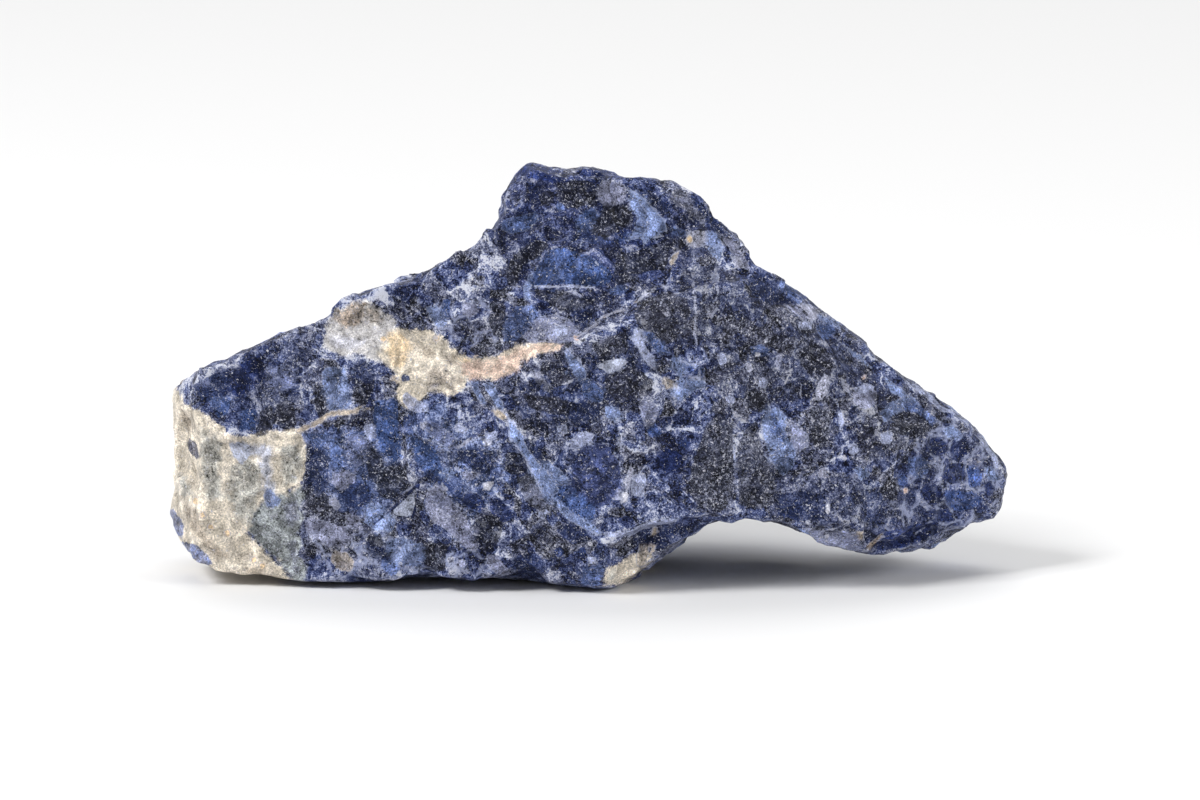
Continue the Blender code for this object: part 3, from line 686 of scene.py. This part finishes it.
def distance_to_line(spots, start, end):
    """How far spots lie from the line between two places."""
    along = end - start
    share = np.clip((spots - start) @ along / (along @ along), 0, 1)
    return np.linalg.norm(spots - start - share[:, None] * along, axis=1)


def inside_outline(spots, outline):
    """How far spots lie inside an outline; outside it the distance is negative."""
    nearest = np.full(len(spots), np.inf)
    inside = np.zeros(len(spots), bool)
    for start, end in zip(outline, np.roll(outline, -1, axis=0)):
        nearest = np.minimum(nearest, distance_to_line(spots, start, end))
        crosses = (start[1] > spots[:, 1]) != (end[1] > spots[:, 1])
        if start[1] != end[1]:
            at = start[0] + (spots[:, 1] - start[1]) * (end[0] - start[0]) / (end[1] - start[1])
            inside ^= crosses & (spots[:, 0] < at)
    return np.where(inside, nearest, -nearest)


class Markings:
    """One layer of markings: how deep in mm each place lies in its nearest marking, and the mineral."""

    def __init__(self, spots):
        self.spots = spots
        self.depth = np.full(len(spots), FAR)
        self.mineral = np.zeros((len(spots), 4))

    def add(self, mineral, near, depth):
        """Lays one marking over the others where it is the deepest."""
        better = depth > self.depth[near]
        self.depth[near[better]] = depth[better]
        self.mineral[near[better]] = linear(mineral[:3], mineral.sugar)

    def near(self, corners, reach=0.0):
        """The spots that corners can matter to."""
        margin = -FAR * STEPS_PER_MM + reach
        low, high = corners.min(axis=0) - margin, corners.max(axis=0) + margin
        return np.flatnonzero(((self.spots > low) & (self.spots < high)).all(axis=1))

    def add_patches(self, patches):
        for mineral, text in patches:
            outline = places_of(text)
            near = self.near(outline)
            self.add(mineral, near, inside_outline(self.spots[near], outline) / STEPS_PER_MM)

    def add_streaks(self, streaks):
        for mineral, width, text in streaks:
            for ends in itertools.pairwise(places_of(text)):
                near = self.near(np.array(ends), width * STEPS_PER_MM)
                away = distance_to_line(self.spots[near], *ends) / STEPS_PER_MM
                self.add(mineral, near, width / 2 - away)

    def add_spots(self, groups):
        for mineral, radius, text in groups:
            for centre in places_of(text):
                near = self.near(centre[None], radius)
                away = np.linalg.norm(self.spots[near] - centre, axis=1)
                self.add(mineral, near, (radius - away) / STEPS_PER_MM)

    def scatter(self, patches, count, place, normals, hidden):
        """Lays patches at chance places and turns over the hidden sides."""
        random = np.random.default_rng(SCATTER_SEED)
        for start in random.choice(np.flatnonzero(hidden), count):
            mineral, text = patches[random.integers(len(patches))]
            outline = places_of(text)
            outline = (outline - outline.mean(axis=0)) / STEPS_PER_MM * random.uniform(*SCATTER_GROWTH)
            across = np.cross(normals[start], random.normal(size=3))
            across /= np.linalg.norm(across)
            axes = np.stack((across, np.cross(normals[start], across)))
            away = (place - place[start]) / MM
            near = np.flatnonzero((np.abs(away) < SCATTER_REACH).all(axis=1))
            depth = inside_outline(away[near] @ axes.T, outline)
            aside = SCATTER_ASIDE * np.abs(away[near] @ normals[start])
            self.add(mineral, near, np.where(hidden[near], depth - aside, FAR))


def facet_lift(layer, place):
    """How high each place stands on a layer of facets, and a share that is even over each facet."""
    size = layer.size * MM
    low = place.min(axis=0) - 2 * size
    counts = np.ceil((place.max(axis=0) - low) / size).astype(int) + 2
    random = np.random.default_rng(layer.seed)
    jitter = random.random((*counts, 3))
    level = random.uniform(-1, 1, counts) * layer.step * MM
    tilt = random.uniform(-1, 1, (*counts, 3)) * layer.slope
    share = random.random(counts)
    home = np.floor((place - low) / size).astype(int)
    lowest = np.full(len(place), np.inf)
    lift = np.zeros(len(place))
    tone = np.zeros(len(place))
    for neighbour in itertools.product((-1, 0, 1), repeat=3):
        cell = home + neighbour
        index = tuple(cell.T)
        away = place - low - (cell + jitter[index]) * size
        height = level[index] + (tilt[index] * away).sum(axis=1)
        cost = height + CREASE_BIAS * (away**2).sum(axis=1) / size
        better = cost < lowest
        lowest[better] = cost[better]
        lift[better] = height[better]
        tone[better] = share[index][better]
    return lift, tone


def vertex_values(mesh, name):
    """The places or normals of all vertices."""
    values = np.empty(len(mesh.vertices) * 3)
    mesh.vertices.foreach_get(name, values)
    return values.reshape(-1, 3)


def move_vertices(mesh, place):
    mesh.vertices.foreach_set("co", place.ravel())
    mesh.update()


def edge_ends(mesh):
    """The two vertices of every edge."""
    ends = np.empty(len(mesh.edges) * 2, int)
    mesh.edges.foreach_get("vertices", ends)
    return ends.reshape(-1, 2).T


def even_out(values, ends, rounds):
    """Each vertex takes the mean of itself and its neighbours, a number of times."""
    first, second = ends
    count = 1 + np.bincount(first, minlength=len(values)) + np.bincount(second, minlength=len(values))
    for _ in range(rounds):
        total = values.copy()
        np.add.at(total, first, values[second])
        np.add.at(total, second, values[first])
        values = total / (count[:, None] if values.ndim == 2 else count)
    return values


def unit(vectors):
    return vectors / np.linalg.norm(vectors, axis=1)[:, None]


def evaluated_mesh(obj):
    depsgraph = bpy.context.evaluated_depsgraph_get()
    return bpy.data.meshes.new_from_object(obj.evaluated_get(depsgraph), depsgraph=depsgraph)


def reshaped(mesh, kind, **settings):
    """The mesh after one modifier."""
    obj = bpy.data.objects.new("work", mesh)
    bpy.context.scene.collection.objects.link(obj)
    modifier = obj.modifiers.new("step", kind)
    for name, value in settings.items():
        setattr(modifier, name, value)
    result = evaluated_mesh(obj)
    bpy.data.objects.remove(obj)
    return result


def solid_copy(node):
    """A welded copy of the frame's solid."""
    mesh = node.data.copy()
    welded = bmesh.new()
    welded.from_mesh(mesh)
    bmesh.ops.remove_doubles(welded, verts=welded.verts, dist=1e-6)
    welded.to_mesh(mesh)
    welded.free()
    return mesh


def break_surface(mesh):
    """Breaks the surface into small facets, and keeps the base level."""
    place = vertex_values(mesh, "co")
    ends = edge_ends(mesh)
    normals = unit(even_out(vertex_values(mesh, "normal"), ends, NORMAL_ROUNDS))
    lift = sum(facet_lift(layer, place)[0] for layer in FACET_LAYERS)
    lift = even_out(lift - np.percentile(lift, LEVEL_PERCENTAGE), ends, LIFT_ROUNDS)
    above_base = np.clip((place[:, 2] - BASE_MARGIN * MM) / MM, 0, 1)
    place += normals * (lift * above_base)[:, None]
    place[:, 2] = np.maximum(place[:, 2], 0)
    move_vertices(mesh, place)


def add_attribute(mesh, name, values):
    kind = "FLOAT" if values.ndim == 1 else "FLOAT_COLOR"
    attribute = mesh.attributes.new(name, kind, "POINT")
    attribute.data.foreach_set("value" if values.ndim == 1 else "color", values.ravel())


def all_markings(place, normals, facing):
    """The layers of markings on places of the stone; facing is how far each place turns to the eye."""
    layers = {name: Markings(on_drawing(place)) for name in LAYERS}
    layers["mood"].add_patches(MOODS)
    layers["zone"].add_patches(ZONES)
    layers["blush"].add_patches(BLUSHES)
    layers["flake"].add_patches(FLAKES)
    layers["inlay"].add_patches(INLAYS)
    layers["inlay"].add_streaks(STREAKS)
    layers["inlay"].add_spots(SPOTS)
    turned_away = FADE_RATE * np.clip(FADE_BELOW - facing, 0, 1)
    for name in ("flake", "inlay"):
        layers[name].depth = np.maximum(layers[name].depth - turned_away, FAR)
    layers["flake"].scatter(FLAKES, SCATTERED, place, normals, facing < HIDDEN_BELOW)
    return layers


def flake_relief(flakes, place):
    """Pale flakes stand out a little, and dark ones are sunk; the base stays level."""
    light = flakes.mineral[:, 1] - MIDDLE_LIGHT
    height = np.clip(light * LIGHT_RISE, *FLAKE_HEIGHTS) * MM
    rise = np.clip(flakes.depth / FLAKE_RIM + FLAKE_START, 0, 1)
    return rise * height * np.clip(place[:, 2] / MM, 0, 1)


def draw_markings(mesh):
    """Writes on each vertex the markings around it, its facets and how sharp a ridge it is on."""
    place = vertex_values(mesh, "co")
    ends = edge_ends(mesh)
    normals = unit(even_out(vertex_values(mesh, "normal"), ends, FRONT_ROUNDS))
    facing = unit(even_out(normals, ends, SIDE_ROUNDS)) @ TOWARDS_EYE
    layers = all_markings(place, normals, facing)
    for name, markings in layers.items():
        add_attribute(mesh, name + " depth", markings.depth)
        add_attribute(mesh, name + " mineral", markings.mineral)
    network = Markings(on_drawing(place))
    network.add_patches([(PALE, text) for text in NETWORKS])
    add_attribute(mesh, "network depth", network.depth)

    relief = even_out(flake_relief(layers["flake"], place), ends, 1)
    place += normals * relief[:, None]
    move_vertices(mesh, place)
    for name, layer in zip(("facet tone", "chip tone"), FACET_LAYERS):
        add_attribute(mesh, name, facet_lift(layer, place)[1])
    # How sharp a ridge or how deep a hollow each vertex lies in; the material paints highlight on ridges
    # and shade in hollows from it.
    hollow = even_out(place, ends, RIDGE_ROUNDS) - place
    add_attribute(mesh, "ridge", -(hollow * normals).sum(axis=1) / MM)


def add_node(tree, kind, inputs=None, **settings):
    """Adds a node; inputs are values, or sockets to link."""
    node = tree.nodes.new(kind)
    for name, value in settings.items():
        setattr(node, name, value)
    for name, value in (inputs or {}).items():
        if isinstance(value, bpy.types.NodeSocket):
            tree.links.new(value, node.inputs[name])
        else:
            node.inputs[name].default_value = value
    return node


class Paint:
    """Short names for the nodes that the stone's material is put together from."""

    def __init__(self, tree):
        self.tree = tree

    def count(self, operation, *values):
        inputs = dict(enumerate(values))
        return add_node(self.tree, "ShaderNodeMath", inputs, operation=operation).outputs[0]

    def plus(self, *values):
        total = values[0]
        for value in values[1:]:
            total = self.count("ADD", total, value)
        return total

    def times(self, first, *others):
        for other in others:
            first = self.count("MULTIPLY", first, other)
        return first

    def vectors(self, operation, *values):
        inputs = dict(enumerate(values))
        return add_node(self.tree, "ShaderNodeVectorMath", inputs, operation=operation).outputs[0]

    def span(self, value, span):
        """The value carried from one range to another, and held inside it."""
        inputs = {
            "Value": value, "From Min": span.low, "From Max": span.high,
            "To Min": span.to_low, "To Max": span.to_high,
        }
        kind = "SMOOTHSTEP" if span.smooth else "LINEAR"
        return add_node(self.tree, "ShaderNodeMapRange", inputs, interpolation_type=kind).outputs[0]

    def swing(self, value, reach, low=0.0, high=1.0):
        """The value carried to both sides of zero."""
        return self.span(value, Span(low, high, -reach, reach))

    def blend(self, share, first, second, kind="MIX"):
        node = add_node(self.tree, "ShaderNodeMix", data_type="RGBA", blend_type=kind)
        for socket, value in ((0, share), (6, first), (7, second)):
            if isinstance(value, bpy.types.NodeSocket):
                self.tree.links.new(value, node.inputs[socket])
            else:
                node.inputs[socket].default_value = value
        return node.outputs[2]

    def noise(self, place, noise, output="Fac"):
        if noise.height:
            place = self.lifted(place, noise.height)
        inputs = {
            "Vector": place, "Scale": 1 / noise.size, "Detail": noise.detail,
            "Roughness": noise.roughness, "Distortion": noise.twist,
        }
        return add_node(self.tree, "ShaderNodeTexNoise", inputs).outputs[output]

    def cells(self, place, size):
        """Three chance shares that are even over each cell."""
        inputs = {"Vector": place, "Scale": 1 / size}
        return self.shares(add_node(self.tree, "ShaderNodeTexVoronoi", inputs).outputs["Color"])

    def cell_edges(self, place, size):
        """How far places lie from the edge of their cell."""
        inputs = {"Vector": place, "Scale": 1 / size}
        node = add_node(self.tree, "ShaderNodeTexVoronoi", inputs, feature="DISTANCE_TO_EDGE")
        return node.outputs["Distance"]

    def attribute(self, name, output="Fac"):
        return add_node(self.tree, "ShaderNodeAttribute", attribute_name=name).outputs[output]

    def stray(self, place, stray):
        """Places moved about by soft noise, so that what is drawn on them comes out uneven."""
        noise = self.noise(place, Noise(stray.size, stray.detail), "Color")
        centred = self.vectors("SUBTRACT", noise, (0.5, 0.5, 0.5))
        return self.vectors("MULTIPLY_ADD", centred, (stray.reach * 2,) * 3, place)

    def lifted(self, place, height):
        """The same places moved far off, for a pattern that has nothing to do with the others."""
        return self.vectors("ADD", place, (0.0, 0.0, height))

    def shares(self, colour):
        """The three shares that a colour is made of."""
        return add_node(self.tree, "ShaderNodeSeparateColor", {0: colour}).outputs[:3]

    def by_light(self, colour, span):
        """A share that depends on how light the colour is."""
        return self.span(self.shares(colour)[1], span)

    def scaled(self, colour, gain):
        grey = add_node(self.tree, "ShaderNodeCombineColor", {0: gain, 1: gain, 2: gain}).outputs[0]
        return self.blend(1.0, colour, grey, "MULTIPLY")

    def flecks(self, pattern, share, softness=FLECK_SOFTNESS):
        """Where a pattern of noise is strongest: share is how much of the surface is covered."""
        level = self.span(share, FLECK_LEVEL)
        return self.span(pattern, Span(level, self.plus(level, softness)))

    def ramp(self, value, stops, blending="LINEAR"):
        """A colour ramp; the stops hold colours as linear light."""
        node = add_node(self.tree, "ShaderNodeValToRGB", {"Fac": value})
        node.color_ramp.interpolation = blending
        elements = node.color_ramp.elements
        elements.remove(elements[1])
        for position, colour in stops:
            element = elements[0] if position == stops[0][0] else elements.new(position)
            element.position = position
            element.color = colour
        return node.outputs[0]


def crystals(paint, place, settings, unevenness_with_painted_light):
    """The colour of crystals and plates with their pale seams, and the share of sugary grains on them."""
    crystal_size, plate_size = settings.crystal_size / MM, settings.plate_size / MM
    wandering = paint.stray(place, CRYSTAL_STRAY)
    crystal = paint.cells(paint.stray(wandering, CRYSTAL_BREAK), crystal_size)
    plate = paint.cells(paint.stray(paint.stray(place, PLATE_STRAY), PLATE_BREAK), plate_size)
    crystal_edge = paint.cell_edges(wandering, crystal_size)
    plate_edge = paint.cell_edges(paint.stray(place, HAIR_STRAY), plate_size)

    loose = paint.count("GREATER_THAN", plate[1], LOOSE_PLATES)
    kind = paint.span(loose, Span(0.0, 1.0, crystal[0], plate[0]))
    kinds = [(start, (*shares, 1.0)) for start, shares in KINDS]
    value, sugar, blueness = paint.shares(paint.ramp(kind, kinds, "CONSTANT"))

    seam_area = paint.span(paint.noise(place, SEAM_NOISE), SEAM_AREA)
    hair_area = paint.span(paint.noise(place, HAIR_NOISE), HAIR_AREA)
    seam = paint.times(paint.span(crystal_edge, SEAM), seam_area, SEAM_LIGHT)
    hair = paint.times(paint.span(plate_edge, HAIR), hair_area, HAIR_LIGHT)
    tone = paint.plus(value, unevenness_with_painted_light, paint.count("MAXIMUM", seam, hair))
    grey = [(start, linear(colour)) for start, colour in GREY_STOPS]
    blue = [(start, linear(colour)) for start, colour in BLUE_STOPS]
    return paint.blend(blueness, paint.ramp(tone, grey), paint.ramp(tone, blue)), sugar


def pale_network(paint, place, settings, colour, ragged, cloud):
    """Pale lines between rounded crystals, inside the outlines of the networks."""
    here = paint.plus(paint.attribute("network depth"), paint.times(ragged, NETWORK_EDGE_STRAY))
    edge = paint.cell_edges(paint.stray(place, NETWORK_STRAY), NETWORK_SIZE)
    line = paint.times(paint.span(edge, NETWORK), paint.span(cloud, NETWORK_AREA))
    share = paint.times(line, paint.span(here, NETWORK_EDGE), NETWORK_SHARE)
    return paint.blend(share, colour, (*settings.network_colour, 1.0))


def marking(paint, name, settings, colour, ragged, unevenness_with_painted_light, cloud, veil):
    """The colour with one layer of markings over it, and how far the layer covers each place."""
    layer = LAYERS[name]
    mineral = paint.attribute(name + " mineral", "Color")
    edge = paint.plus(paint.attribute(name + " depth"), paint.times(ragged, layer.stray))
    cover = paint.span(edge, Span(0.0, layer.softness, smooth=True))
    cover = paint.times(cover, layer.share, paint.span(veil, Span(*VEIL_SPAN, layer.veil, 1.0)))
    rim = paint.span(paint.count("ABSOLUTE", paint.plus(edge, -RIM_DEPTH)), RIM)
    rim = paint.times(rim, paint.span(cloud, RIM_AREA), paint.by_light(mineral, RIM_BY_LIGHT))
    gain = paint.count("POWER", 2.0, paint.times(unevenness_with_painted_light, paint.by_light(mineral, LIVELINESS)))
    painted = paint.blend(rim, paint.scaled(mineral, gain), (*settings.rim_colour, 1.0))
    return paint.blend(cover, colour, painted), cover


def cracked(paint, place, colour):
    """Dark cracks in places, strongest on dark minerals."""
    edge = paint.cell_edges(paint.stray(paint.lifted(place, CRACK_HEIGHT), CRACK_STRAY), CRACK_SIZE)
    cracks = paint.times(paint.span(edge, CRACK), paint.span(paint.noise(place, CRACK_NOISE), CRACK_AREA))
    share = paint.times(cracks, paint.by_light(colour, CRACK_BY_LIGHT))
    return paint.blend(share, colour, paint.scaled(colour, CRACK_SHADE))


def sugared(paint, place, settings, colour, sugar, cloud):
    """White sugary grains, in threads and clusters, over soft pale blotches; the brightest grains are
    partly painted glints.
    """
    clusters = paint.span(paint.noise(place, CLUSTERS), CLUSTER_PULL)
    pattern = paint.plus(paint.noise(place, THREADS), clusters)
    covered = paint.times(sugar, BLOTCH_SHARE)
    blotches = paint.flecks(paint.noise(place, BLOTCHES), covered, BLOTCH_SOFTNESS)
    share = paint.times(blotches, paint.by_light(colour, BLOTCH_BY_LIGHT))
    colour = paint.blend(share, colour, linear(BLOTCH_COLOUR))
    share = paint.times(paint.flecks(pattern, sugar), paint.span(cloud, FLECK_STRENGTH))
    colour = paint.blend(share, colour, (*settings.fleck_colour, 1.0))
    # The brightest grains, partly white mineral and partly painted glints.
    share = paint.times(paint.flecks(pattern, paint.times(sugar, BRIGHT_GRAIN_AND_GLINT_SHARE)), BRIGHT_GRAIN_AND_GLINT_STRENGTH)
    return paint.blend(share, colour, (*settings.bright_grain_and_glint_colour, 1.0))


def pitted(paint, place, colour):
    """Small dark gaps between the grains."""
    gaps = paint.plus(paint.noise(place, GAPS), paint.span(paint.noise(place, BROAD_GAPS), GAP_PULL))
    share = paint.times(paint.flecks(gaps, GAP_SHARE), paint.by_light(colour, GAP_BY_LIGHT))
    return paint.blend(share, colour, paint.scaled(colour, GAP_SHADE))


def stone_material(settings):
    """Sodalite: navy and pale-blue crystals in ragged patches, with sugary grains and a cream vein."""
    material = bpy.data.materials.new("sodalite")
    material.use_nodes = True
    tree = material.node_tree
    tree.nodes.clear()
    paint = Paint(tree)
    coordinates = add_node(tree, "ShaderNodeTexCoord").outputs["Object"]
    place = paint.vectors("MULTIPLY", coordinates, (1 / MM,) * 3)

    fine = paint.noise(place, FINE)
    cloud = paint.noise(place, CLOUD)
    chip = paint.cells(paint.stray(place, CHIP_STRAY), CHIP_SIZE)
    # Random unevenness of tone, with painted highlight on ridges and painted shade in hollows.
    unevenness_with_painted_light = paint.plus(
        paint.swing(fine, FINE_SWING, 0.3, 0.7),
        paint.swing(cloud, CLOUD_SWING, 0.3, 0.7),
        paint.swing(chip[0], CHIP_SWING),
        paint.swing(paint.attribute("facet tone"), FACET_SWING),
        paint.swing(paint.attribute("chip tone"), SMALL_FACET_SWING),
        paint.span(paint.attribute("ridge"), RIDGE_HIGHLIGHT_AND_HOLLOW_SHADE),
    )
    colour, sugar = crystals(paint, place, settings, unevenness_with_painted_light)

    ragged = paint.plus(
        paint.swing(paint.noise(place, EDGE_NOISE), EDGE_SWINGS[0], 0.25, 0.75),
        paint.swing(chip[2], EDGE_SWINGS[1]),
        paint.swing(fine, EDGE_SWINGS[2], 0.3, 0.7),
    )
    veil = paint.noise(place, VEIL)
    for name in LAYERS:
        colour, cover = marking(paint, name, settings, colour, ragged, unevenness_with_painted_light, cloud, veil)
        sugar = paint.span(cover, Span(0.0, 1.0, sugar, paint.attribute(name + " mineral", "Alpha")))
        if name == "mood":
            colour = pale_network(paint, place, settings, colour, ragged, cloud)

    colour = cracked(paint, place, colour)
    colour = sugared(paint, place, settings, colour, sugar, cloud)
    colour = pitted(paint, place, colour)
    height = paint.plus(paint.times(fine, RELIEF_FINE), paint.times(chip[1], RELIEF_CHIP))
    relief = {"Height": height, "Strength": RELIEF_STRENGTH, "Distance": RELIEF_DEPTH}
    skin = {
        "Base Color": colour, "Roughness": SKIN_ROUGHNESS, "Specular IOR Level": SKIN_SPECULAR,
        "Normal": add_node(tree, "ShaderNodeBump", relief).outputs[0],
    }
    surface = add_node(tree, "ShaderNodeBsdfPrincipled", skin).outputs[0]
    add_node(tree, "ShaderNodeOutputMaterial", {"Surface": surface})
    return material


def floor_material(shade):
    """The pale, dull floor."""
    material = bpy.data.materials.new("pale floor")
    material.use_nodes = True
    skin = material.node_tree.nodes["Principled BSDF"]
    skin.inputs["Base Color"].default_value = (shade, shade, shade, 1)
    skin.inputs["Roughness"].default_value = FLOOR_ROUGHNESS
    skin.inputs["Specular IOR Level"].default_value = FLOOR_SPECULAR
    return material


def length_setting(name, description, default, **limits):
    return bpy.props.FloatProperty(
        name=name, description=description, default=default, unit="LENGTH", precision=5, **limits
    )


def colour_setting(name, description, default):
    return bpy.props.FloatVectorProperty(
        name=name, description=description, default=linear(default)[:3], subtype="COLOR", min=0, max=1
    )


class StoneSettings(bpy.types.PropertyGroup):
    grain: length_setting("Grain", "Spacing of the vertices before thinning", GRAIN * MM, min=0.0001)
    triangles: bpy.props.IntProperty(
        name="Triangles", description="Most triangles that the stone may have", default=TRIANGLES,
        min=1000,
    )
    crystal_size: length_setting("Crystal size", "Width of the crystals", CRYSTAL_SIZE * MM, min=0.0001)
    plate_size: length_setting("Plate size", "Width of the plates in them", PLATE_SIZE * MM, min=0.0001)
    rim_colour: colour_setting("Rims", "Colour of the thin rims of the flakes", RIM_COLOUR)
    network_colour: colour_setting("Network", "Colour of the lines around round crystals", NETWORK_COLOUR)
    fleck_colour: colour_setting("Grains", "Colour of the duller sugary grains", FLECK_COLOUR)
    # The brightest grains, which are partly painted glints.
    bright_grain_and_glint_colour: colour_setting("Bright grains", "Colour of the brightest sugary grains", BRIGHT_GRAIN_AND_GLINT_COLOUR)


class StageSettings(bpy.types.PropertyGroup):
    floor_width: length_setting("Floor width", "Width and depth of the floor", FLOOR_WIDTH)
    floor_shade: bpy.props.FloatProperty(
        name="Floor shade", description="How much light the floor gives back", default=FLOOR_SHADE,
        subtype="FACTOR", min=0, max=1,
    )
    sky_light: bpy.props.FloatProperty(
        name="Sky light", description="Strength of the even light from all round", default=SKY_LIGHT,
        min=0,
    )
    lamp_power: bpy.props.FloatProperty(
        name="Lamp power", description="Power that each lamp has its own multiple of, in watts",
        default=LAMP_POWER, min=0,
    )


class SODALITE_OT_stone(bpy.types.Operator):
    """Breaks the solid's surface into facets, and paints the markings on it"""

    bl_idname = "sodalite.stone"
    bl_label = "Add the stone"

    def execute(self, context):
        settings = context.scene.sodalite_stone
        solid = solid_copy(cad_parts[NODE])
        mesh = reshaped(solid, "REMESH", mode="VOXEL", voxel_size=settings.grain)
        break_surface(mesh)
        triangles = sum(len(face.vertices) - 2 for face in mesh.polygons)
        mesh = reshaped(mesh, "DECIMATE", ratio=min(1.0, settings.triangles / triangles))
        draw_markings(mesh)
        mesh.name = "stone"
        mesh.materials.clear()
        mesh.materials.append(stone_material(settings))
        mesh.shade_smooth()
        stone = bpy.data.objects.new("stone", mesh)
        context.scene.collection.objects.link(stone)
        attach(stone, "root")
        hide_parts(NODE)
        return {"FINISHED"}


def aim(obj, place, at):
    """Puts a lamp or camera at a place and points it at another."""
    obj.location = place
    obj.rotation_euler = (Vector(at) - Vector(place)).to_track_quat("-Z", "Y").to_euler()


def add_lamp(name, power, size, place):
    light = bpy.data.lights.new(name, "AREA")
    light.energy = power
    light.shape = "SQUARE"
    light.size = size
    lamp = bpy.data.objects.new(name, light)
    bpy.context.scene.collection.objects.link(lamp)
    aim(lamp, place, LAMPS_AIM)
    return lamp


def add_floor(width, shade):
    mesh = bpy.data.meshes.new("floor")
    plane = bmesh.new()
    bmesh.ops.create_grid(plane, x_segments=1, y_segments=1, size=width / 2)
    plane.to_mesh(mesh)
    plane.free()
    mesh.materials.append(floor_material(shade))
    floor = bpy.data.objects.new("floor", mesh)
    bpy.context.scene.collection.objects.link(floor)
    return floor


def set_sky(scene, strength):
    """An even white light from all round."""
    world = bpy.data.worlds.new("studio")
    world.use_nodes = True
    background = world.node_tree.nodes["Background"]
    background.inputs["Color"].default_value = (1, 1, 1, 1)
    background.inputs["Strength"].default_value = strength
    scene.world = world


def add_camera(scene):
    lens = bpy.data.cameras.new("camera")
    lens.lens = LENS
    lens.sensor_width = SENSOR
    camera = bpy.data.objects.new("camera", lens)
    scene.collection.objects.link(camera)
    aim(camera, AIM + TOWARDS_EYE * EYE_DISTANCE, AIM)
    scene.camera = camera
    return camera


class SODALITE_OT_stage(bpy.types.Operator):
    """Adds the pale floor, the soft light and the camera"""

    bl_idname = "sodalite.stage"
    bl_label = "Add the stage"

    def execute(self, context):
        scene = context.scene
        settings = scene.sodalite_stage
        floor = add_floor(settings.floor_width, settings.floor_shade)
        lamps = [add_lamp(name, settings.lamp_power * share, size, at) for name, share, size, at in LAMPS]
        set_sky(scene, settings.sky_light)
        scene.view_settings.view_transform = "Standard"
        camera = add_camera(scene)
        return {"FINISHED"}


class SODALITE_PT_panel(bpy.types.Panel):
    """Lists the steps and their settings"""

    bl_idname = "SODALITE_PT_panel"
    bl_label = "Rough sodalite"
    bl_space_type = "VIEW_3D"
    bl_region_type = "UI"
    bl_category = "Rough sodalite"

    def draw(self, context):
        scene = context.scene
        steps = ((scene.sodalite_stone, SODALITE_OT_stone), (scene.sodalite_stage, SODALITE_OT_stage))
        for settings, operator in steps:
            box = self.layout.box()
            for name in settings.__annotations__:
                box.prop(settings, name)
            box.operator(operator.bl_idname)


CLASSES = (StoneSettings, StageSettings, SODALITE_OT_stone, SODALITE_OT_stage, SODALITE_PT_panel)


def register():
    for cls in CLASSES:
        bpy.utils.register_class(cls)
    bpy.types.Scene.sodalite_stone = bpy.props.PointerProperty(type=StoneSettings)
    bpy.types.Scene.sodalite_stage = bpy.props.PointerProperty(type=StageSettings)


def unregister():
    del bpy.types.Scene.sodalite_stage
    del bpy.types.Scene.sodalite_stone
    for cls in reversed(CLASSES):
        bpy.utils.unregister_class(cls)


def main():
    register()
    bpy.ops.sodalite.stone()
    bpy.ops.sodalite.stage()


if __name__ == "__main__":
    main()
